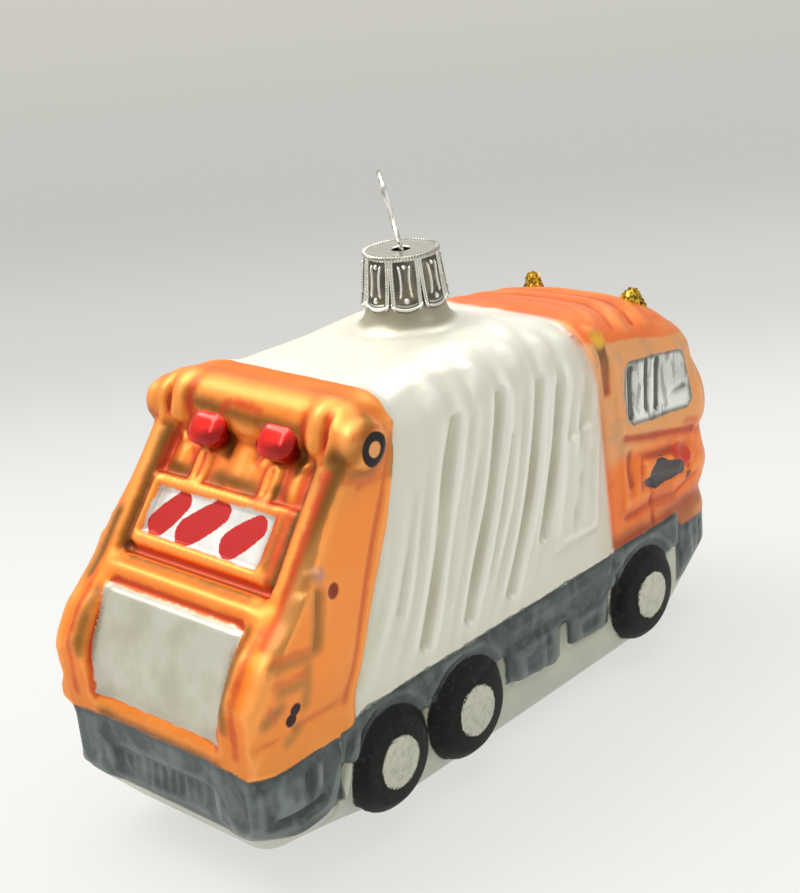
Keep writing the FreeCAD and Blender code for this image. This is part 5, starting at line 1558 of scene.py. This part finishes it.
def make_lamps(settings):
    """The two tail lamps: ruby lacquer over moulded facets, painted shade below, highlight above."""
    finish = Finish("ruby_lacquer")
    height = finish.attribute("up")
    cloud = finish.noise(0.35, 3, 0.5)
    # painted shade low on each lamp
    deep = (height + (cloud - 0.5) * 0.5).step(0.45, 0.1)
    tint = finish.blend(deep * 0.7, tuple(settings.stripe), RUBY_LOW_SHADE)
    # a painted highlight high on each lamp
    bright = (height + (cloud - 0.5) * 0.4).step(0.75, 1.0)
    tint = finish.blend(bright * 0.6, tint, RUBY_LIT)
    material = finish.surface(base_color=tint, roughness=cloud * 0.1 + 0.16, metallic=0.85,
                              coat_weight=0.35, coat_roughness=0.04)
    # the right one stands further up the slope
    for side, lift in (("right", 0.9), ("left", 0.2)):
        points, quads = softened_node("tail_lamp_" + side, 0.2, 22)
        up = (points[:, [0, 2]] - SLOPE_FOOT) @ SLOPE_UP
        out = (points[:, [0, 2]] - SLOPE_FOOT) @ SLOPE_OUT
        head = ease(up, *LAMP_FOOT)
        points[:, 0] -= SLOPE_OUT[0] * LAMP_SINK * np.maximum(out, 0) * head
        points[:, 2] -= SLOPE_OUT[1] * LAMP_SINK * np.maximum(out, 0) * head
        across = points[:, 1] - np.median(points[:, 1])
        points[:, 1] += LAMP_SWELL * across * head
        grow = lift + 0.30 * (up - 24.0)
        points[:, 0] += SLOPE_UP[0] * grow * head
        points[:, 2] += SLOPE_UP[1] * grow * head
        lamp = mesh_object("tail_lamp_" + side + "_glass", points, quads, material)
        # how high on its lamp a point sits, which sets the painted shade and highlight
        share = (up - 21.4) / 5.2 + (points[:, 1] - points[:, 1].mean()) * 0.10
        set_floats(lamp.data, "up", share)
        finished(lamp, "glass", "tail_lamp_" + side)


def make_beacons(settings):
    """The two roof beacons: lumps of gold glitter in clear glue."""
    finish = Finish("gold_flakes")
    cloud = finish.noise(1.4, 2, 0.6)
    tint = finish.blend(cloud.step(0.4, 0.62), tuple(settings.gold), FLAKE_SHADE)
    material = finish.surface(base_color=tint, roughness=cloud * 0.25 + 0.12, metallic=1.0)
    tree = glitter_tree(material)
    for number, (side, swell) in enumerate((("right", 1.28), ("left", 1.0))):
        points, quads = softened_node("beacon_" + side, 0.3, 2)
        low, high = points.min(axis=0), points.max(axis=0)
        middle = (low + high) / 2
        share = (points[:, 2] - low[2]) / (high[2] - low[2])
        # the right one is rounder, and both stand in a skirt of spilt glue
        wide = 1 + (swell - 1) * np.sin(share * math.pi) + 0.28 * ease(share, 0.22, 0.05)
        points[:, :2] = middle[:2] + (points[:, :2] - middle[:2]) * wide[:, None]
        points[:, 2] = low[2] + (points[:, 2] - low[2]) * (1.0 if side == "left" else 0.9) - 0.35
        lump = mesh_object("beacon_" + side + "_glitter", points, quads, material)
        beacon = grown(lump, tree, {"Density": settings.flakes * 1e6,
                                    "Flake": settings.flake * MM, "Seed": number + 3})
        finished(beacon, "glass", "beacon_" + side)


# ------------------------------------------------------------------ stage
UP = Vector((0, 0, 1))
# the sweep's tone near the ornament, and the tones it takes between two distances
SWEEP_NEAR = (0.87, 0.87, 0.85)
SWEEP_TONES = ((110, 240, (0.68, 0.68, 0.655)), (210, 430, (0.565, 0.56, 0.525)),
               (450, 1300, (0.61, 0.60, 0.55)))


def aim(azimuth, elevation, roll):
    """A camera's turn: azimuth 0 looks along +Y, and roll leans the picture."""
    a, e, r = (math.radians(value) for value in (azimuth, elevation, roll))
    back = Vector((math.sin(a) * math.cos(e), -math.cos(a) * math.cos(e), math.sin(e)))
    right = (-back).cross(UP).normalized()
    up = back.cross(right)
    leaned_right = right * math.cos(r) + up * math.sin(r)
    leaned_up = up * math.cos(r) - right * math.sin(r)
    return Matrix((leaned_right, leaned_up, back)).transposed()


def make_camera(settings):
    """The camera where the settings put it."""
    data = bpy.data.cameras.new("camera")
    data.sensor_width = 36.0
    data.lens = settings.lens
    data.clip_start = 0.005
    camera = linked("camera", data)
    turn = aim(settings.azimuth, settings.elevation, settings.roll)
    camera.matrix_world = Matrix.Translation(Vector(settings.camera_place) * MM) @ turn.to_4x4()
    bpy.context.scene.camera = camera


def area_light(name, place, target, size, power, colour):
    """A rectangular lamp at a place, facing a target; its size in millimetres."""
    data = bpy.data.lights.new(name, "AREA")
    data.shape = "RECTANGLE"
    data.size, data.size_y = size[0] * MM, size[1] * MM
    data.energy = power
    data.color = colour
    lamp = linked(name, data)
    toward = (Vector(target) - Vector(place)).to_track_quat("-Z", "Y")
    lamp.matrix_world = Matrix.Translation(Vector(place) * MM) @ toward.to_matrix().to_4x4()


def make_floor(settings):
    """A pale sweep: flat under the ornament, curving up far behind it."""
    width, front, rear, bend, tall, steps = 6000, -2500, 2500, 600, 3000, 12
    rows = [(front, 0.0), (rear - bend, 0.0)]
    for index in range(1, steps + 1):
        turn = index / steps * math.pi / 2
        rows.append((rear - bend + bend * math.sin(turn), bend - bend * math.cos(turn)))
    rows.append((rear, tall))
    heading = math.radians(-settings.azimuth)
    along = Vector((math.sin(heading), math.cos(heading), 0))
    across = Vector((along.y, -along.x, 0))
    points, faces = [], []
    for distance, height in rows:
        for side in (-width / 2, width / 2):
            points.append(tuple(along * distance + across * side + UP * height))
    for index in range(len(rows) - 1):
        low = index * 2
        faces.append((low, low + 1, low + 3, low + 2))
    finish = Finish("floor_paint")
    distance = finish.x * along.x + finish.y * along.y
    far = SWEEP_NEAR
    for start, end, tone in SWEEP_TONES:
        far = finish.blend(distance.step(start, end), far, tone)
    grain = finish.noise(0.02, 2, 0.5)
    paint = finish.node("ShaderNodeBsdfPrincipled", {},
                        {"Base Color": settings.floor, "Roughness": grain * 0.1 + 0.85})
    glow = finish.node("ShaderNodeEmission", {}, {"Color": far, "Strength": 1.0})
    rays = finish.node("ShaderNodeLightPath", {}, {}, out=None)
    seen = Flow(finish.tree, rays.outputs["Is Camera Ray"])
    for kind in ("Is Glossy Ray", "Is Transmission Ray"):
        seen = seen.most(Flow(finish.tree, rays.outputs[kind]))
    share = (distance.step(40, 150) * 0.3 + 0.7) * seen
    both = finish.node("ShaderNodeMixShader", {}, {0: share, 1: paint, 2: glow})
    finish.output(both)
    mesh_object("floor", points, faces, finish.material)
    return along


# ------------------------------------------------------------------ settings
def colour_of(label, text, default):
    """A colour that a user may change."""
    return FloatVectorProperty(name=label, description=text, subtype="COLOR", size=3,
                               default=default, min=0.0, max=1.0)


def length_of(label, text, default):
    """A length that a user may change."""
    return FloatProperty(name=label, description=text + ", in millimetres", default=default,
                         min=0.0)


class GlassSettings(bpy.types.PropertyGroup):
    """Sizes and colours of the lacquered glass."""
    skin_step: length_of("Skin step", "Spacing of the skin's points", 0.45)
    wall: length_of("Wall", "Thickness of the blown glass", 0.35)
    softness: IntProperty(name="Softness", description="Passes that round the mould's edges",
                          default=5, min=0, max=30)
    white: colour_of("White", "Pearly white lacquer", (0.80, 0.78, 0.67))
    orange: colour_of("Orange", "Orange lacquer of the tailgate", (0.95, 0.235, 0.018))
    orange_red: colour_of("Door orange", "Redder lacquer of the doors", (0.90, 0.20, 0.022))
    copper: colour_of("Copper", "Paler lacquer round the windows", (0.80, 0.36, 0.13))
    roof: colour_of("Roof", "Lacquer of the cab's roof", (0.84, 0.165, 0.024))
    grey: colour_of("Grey", "Slate enamel of skirts and bumpers", (0.045, 0.058, 0.060))
    black: colour_of("Black", "Enamel of tyres and door handles", (0.004, 0.004, 0.004))
    silver: colour_of("Silver", "Bare silvered glass", (0.95, 0.96, 0.92))
    stripe: colour_of("Stripe", "Red brush strokes and lamps", (0.44, 0.008, 0.006))


class FittingSettings(bpy.types.PropertyGroup):
    """Sizes and colours of the cap, the lamps and the beacons."""
    petals: IntProperty(name="Petals", description="Petals round the crown cap", default=8, min=3)
    beads: IntProperty(name="Rope beads", description="Beads round the cap's rim", default=76,
                       min=8)
    rim: length_of("Cap rim", "Outer radius of the crown cap's rim", 6.1)
    hem: length_of("Cap hem", "Outer radius of the crown cap's hem", 7.15)
    hole: length_of("Cap hole", "Radius of the hole for the hanger", 1.55)
    sheet: length_of("Sheet", "Thickness of the cap's sheet", 0.3)
    stripe: colour_of("Ruby", "Red lacquer of the tail lamps", (0.95, 0.022, 0.014))
    gold: colour_of("Gold", "Flakes of the beacons", (0.75, 0.50, 0.06))
    flake: length_of("Flake", "Radius of a flake of glitter", 0.36)
    flakes: FloatProperty(name="Flakes", description="Flakes to a square millimetre", default=4.5)


class StageSettings(bpy.types.PropertyGroup):
    """Camera, lights and floor."""
    azimuth: FloatProperty(name="Azimuth", description="Camera's bearing in degrees", default=-45.9)
    elevation: FloatProperty(name="Elevation", description="Camera's height angle in degrees",
                             default=20.72)
    roll: FloatProperty(name="Roll", description="Lean of the picture in degrees", default=-5.55)
    lens: FloatProperty(name="Lens", description="Focal length in millimetres", default=68.43)
    camera_place: FloatVectorProperty(name="Camera place", size=3,
                                      description="Where the camera stands, in millimetres",
                                      default=(-191.4, -182.3, 149.0))
    floor: colour_of("Floor", "Floor near the ornament", (0.72, 0.72, 0.70))
    key_power: FloatProperty(name="Key power", description="Power of the large lamp", default=2.2,
                             unit="POWER")
    top_power: FloatProperty(name="Top power", description="Power of the lamp overhead",
                             default=0.62, unit="POWER")
    fill_power: FloatProperty(name="Fill power", description="Power of the side lamp", default=0.25,
                              unit="POWER")
    sky: FloatProperty(name="Sky", description="Strength of the room's even light", default=0.68)


# ------------------------------------------------------------------ operators
class Maker(bpy.types.Operator):
    """Shared by all the makers"""
    bl_options = {"REGISTER", "UNDO"}

    def zones(self, context, nodes, name, base, *others, coat=0.15, gloss=0.5):
        """Makes nodes of the glass with one finish: a base paint and the paints next to it."""
        settings = context.scene.ornament_glass
        skin = Skin.get(settings)
        material = Glass(name, settings).painted(base, *others, coat=coat, gloss=gloss)
        for node in nodes:
            shell_of(skin, node, material, settings.wall)
        return {"FINISHED"}


class MakeBin(Maker):
    """Make the white bin body with its fluted sides, and the neck"""
    bl_idname = "ornament.bin"
    bl_label = "Bin body and neck"

    def execute(self, context):
        self.zones(context, ("bin_body",), "bin_lacquer", "white",
                   ("cab", 1.1), ("gate", 0.18), ("grey", 0.25), ("belly", 1.0))
        return self.zones(context, ("neck",), "neck_lacquer", "white")


class MakeGate(Maker):
    """Make the orange tailgate with its hinge roll"""
    bl_idname = "ornament.gate"
    bl_label = "Tailgate and hinge roll"

    def execute(self, context):
        return self.zones(context, ("tailgate", "hinge_roll"), "gate_lacquer", "gate",
                          ("white", 0.18), ("hopper", 0.25), ("marker", 0.2), ("grey", 0.3),
                          ("belly", 0.5), coat=0.08, gloss=0.3)


class MakePanels(Maker):
    """Make the hopper's convex panel and the striped marker panel"""
    bl_idname = "ornament.panels"
    bl_label = "Hopper and marker panels"

    def execute(self, context):
        self.zones(context, ("hopper_panel",), "hopper_lacquer", "hopper", ("gate", 0.25))
        return self.zones(context, ("marker_panel",), "marker_lacquer", "marker", ("gate", 0.2),
                          coat=0.08, gloss=0.3)


class MakeCab(Maker):
    """Make the orange cab"""
    bl_idname = "ornament.cab"
    bl_label = "Cab"

    def execute(self, context):
        return self.zones(context, ("cab",), "cab_lacquer", "cab", ("white", 1.1),
                          ("window", 0.2), ("screen", 0.2), ("grey", 0.3), ("handle", 0.1),
                          ("belly", 0.5))


class MakeWindows(Maker):
    """Make the silvered side windows and windscreen"""
    bl_idname = "ornament.windows"
    bl_label = "Windows"

    def execute(self, context):
        self.zones(context, ("cab_window_right", "cab_window_left"), "window_silver", "window",
                   ("cab", 0.2))
        return self.zones(context, ("windscreen",), "screen_silver", "screen", ("cab", 0.2))


class MakeHandles(Maker):
    """Make the black painted door handles"""
    bl_idname = "ornament.handles"
    bl_label = "Door handles"

    def execute(self, context):
        return self.zones(context, PAINTS["handle"], "handle_enamel", "handle", ("cab", 0.1))


class MakeLower(Maker):
    """Make the bumpers, the skirts and the belly"""
    bl_idname = "ornament.lower"
    bl_label = "Bumpers, skirts and belly"

    def execute(self, context):
        self.zones(context, PAINTS["grey"], "grey_enamel", "grey", ("white", 0.25), ("gate", 0.3),
                   ("cab", 0.3), ("belly", 0.4), ("tyre", 0.2), gloss=0.35)
        return self.zones(context, PAINTS["belly"], "belly_lacquer", "belly", ("white", 1.0),
                          ("grey", 0.4), ("gate", 0.5), ("cab", 0.5), ("tyre", 0.2))


class MakeWheels(Maker):
    """Make the moulded wheels: black tyres and pale hubs"""
    bl_idname = "ornament.wheels"
    bl_label = "Wheels"

    def execute(self, context):
        self.zones(context, PAINTS["tyre"], "tyre_enamel", "tyre", ("hub", 0.15), ("belly", 0.3),
                   ("grey", 0.2), coat=0.0, gloss=0.2)
        return self.zones(context, PAINTS["hub"], "hub_lacquer", "hub", ("tyre", 0.15))


class MakeCap(Maker):
    """Make the pressed crown cap: a plate, eight petals and a rope of beads"""
    bl_idname = "ornament.cap"
    bl_label = "Crown cap"

    def execute(self, context):
        make_cap(context.scene.ornament_fittings)
        return {"FINISHED"}


class MakeHanger(Maker):
    """Make the hanger of spring wire"""
    bl_idname = "ornament.hanger"
    bl_label = "Hanger"

    def execute(self, context):
        make_hanger()
        return {"FINISHED"}


class MakeLamps(Maker):
    """Make the two ruby tail lamps"""
    bl_idname = "ornament.lamps"
    bl_label = "Tail lamps"

    def execute(self, context):
        make_lamps(context.scene.ornament_fittings)
        return {"FINISHED"}


class MakeBeacons(Maker):
    """Make the two glittering roof beacons"""
    bl_idname = "ornament.beacons"
    bl_label = "Beacons"

    def execute(self, context):
        make_beacons(context.scene.ornament_fittings)
        return {"FINISHED"}


class MakeStage(Maker):
    """Make the camera, the lamps, the room's light and the floor"""
    bl_idname = "ornament.stage"
    bl_label = "Stage"

    def execute(self, context):
        settings = context.scene.ornament_stage
        make_camera(settings)
        along = make_floor(settings)
        side = Vector((along.y, -along.x, 0))
        key = side * -330 + along * 60 + UP * 480
        area_light("key", key, (0, 0, 40), (420, 300), settings.key_power, (1.0, 0.99, 0.96))
        area_light("top", (45, 30, 330), (10, 0, 60), (320, 320), settings.top_power,
                   (1.0, 0.99, 0.97))
        fill = side * 420 + along * -260 + UP * 260
        area_light("fill", fill, (0, 0, 30), (260, 320), settings.fill_power, (0.95, 0.98, 1.0))
        world = bpy.data.worlds.new("room")
        context.scene.world = world
        world.use_nodes = True
        back = world.node_tree.nodes["Background"]
        back.inputs[0].default_value = (1.0, 0.99, 0.97, 1.0)
        back.inputs[1].default_value = settings.sky
        context.scene.view_settings.view_transform = "Standard"
        return {"FINISHED"}


class OrnamentPanel(bpy.types.Panel):
    """The ornament's settings and makers"""
    bl_idname = "VIEW3D_PT_ornament"
    bl_label = "Glass ornament"
    bl_space_type = "VIEW_3D"
    bl_region_type = "UI"
    bl_category = "Ornament"

    def draw(self, context):
        layout = self.layout
        scene = context.scene
        for settings in (scene.ornament_glass, scene.ornament_fittings, scene.ornament_stage):
            box = layout.box()
            for name in settings.bl_rna.properties.keys():
                if name not in ("rna_type", "name"):
                    box.prop(settings, name)
        for maker in MAKERS:
            layout.operator(maker.bl_idname)


MAKERS = (MakeBin, MakeGate, MakePanels, MakeCab, MakeWindows, MakeHandles, MakeLower, MakeWheels,
          MakeLamps, MakeBeacons, MakeCap, MakeHanger, MakeStage)
CLASSES = (GlassSettings, FittingSettings, StageSettings) + MAKERS + (OrnamentPanel,)


def register():
    for kind in CLASSES:
        bpy.utils.register_class(kind)
    bpy.types.Scene.ornament_glass = PointerProperty(type=GlassSettings)
    bpy.types.Scene.ornament_fittings = PointerProperty(type=FittingSettings)
    bpy.types.Scene.ornament_stage = PointerProperty(type=StageSettings)


def unregister():
    del bpy.types.Scene.ornament_stage
    del bpy.types.Scene.ornament_fittings
    del bpy.types.Scene.ornament_glass
    for kind in reversed(CLASSES):
        bpy.utils.unregister_class(kind)


def main():
    register()
    for maker in MAKERS:
        group, name = maker.bl_idname.split(".")
        getattr(getattr(bpy.ops, group), name)()


if __name__ == "__main__":
    main()
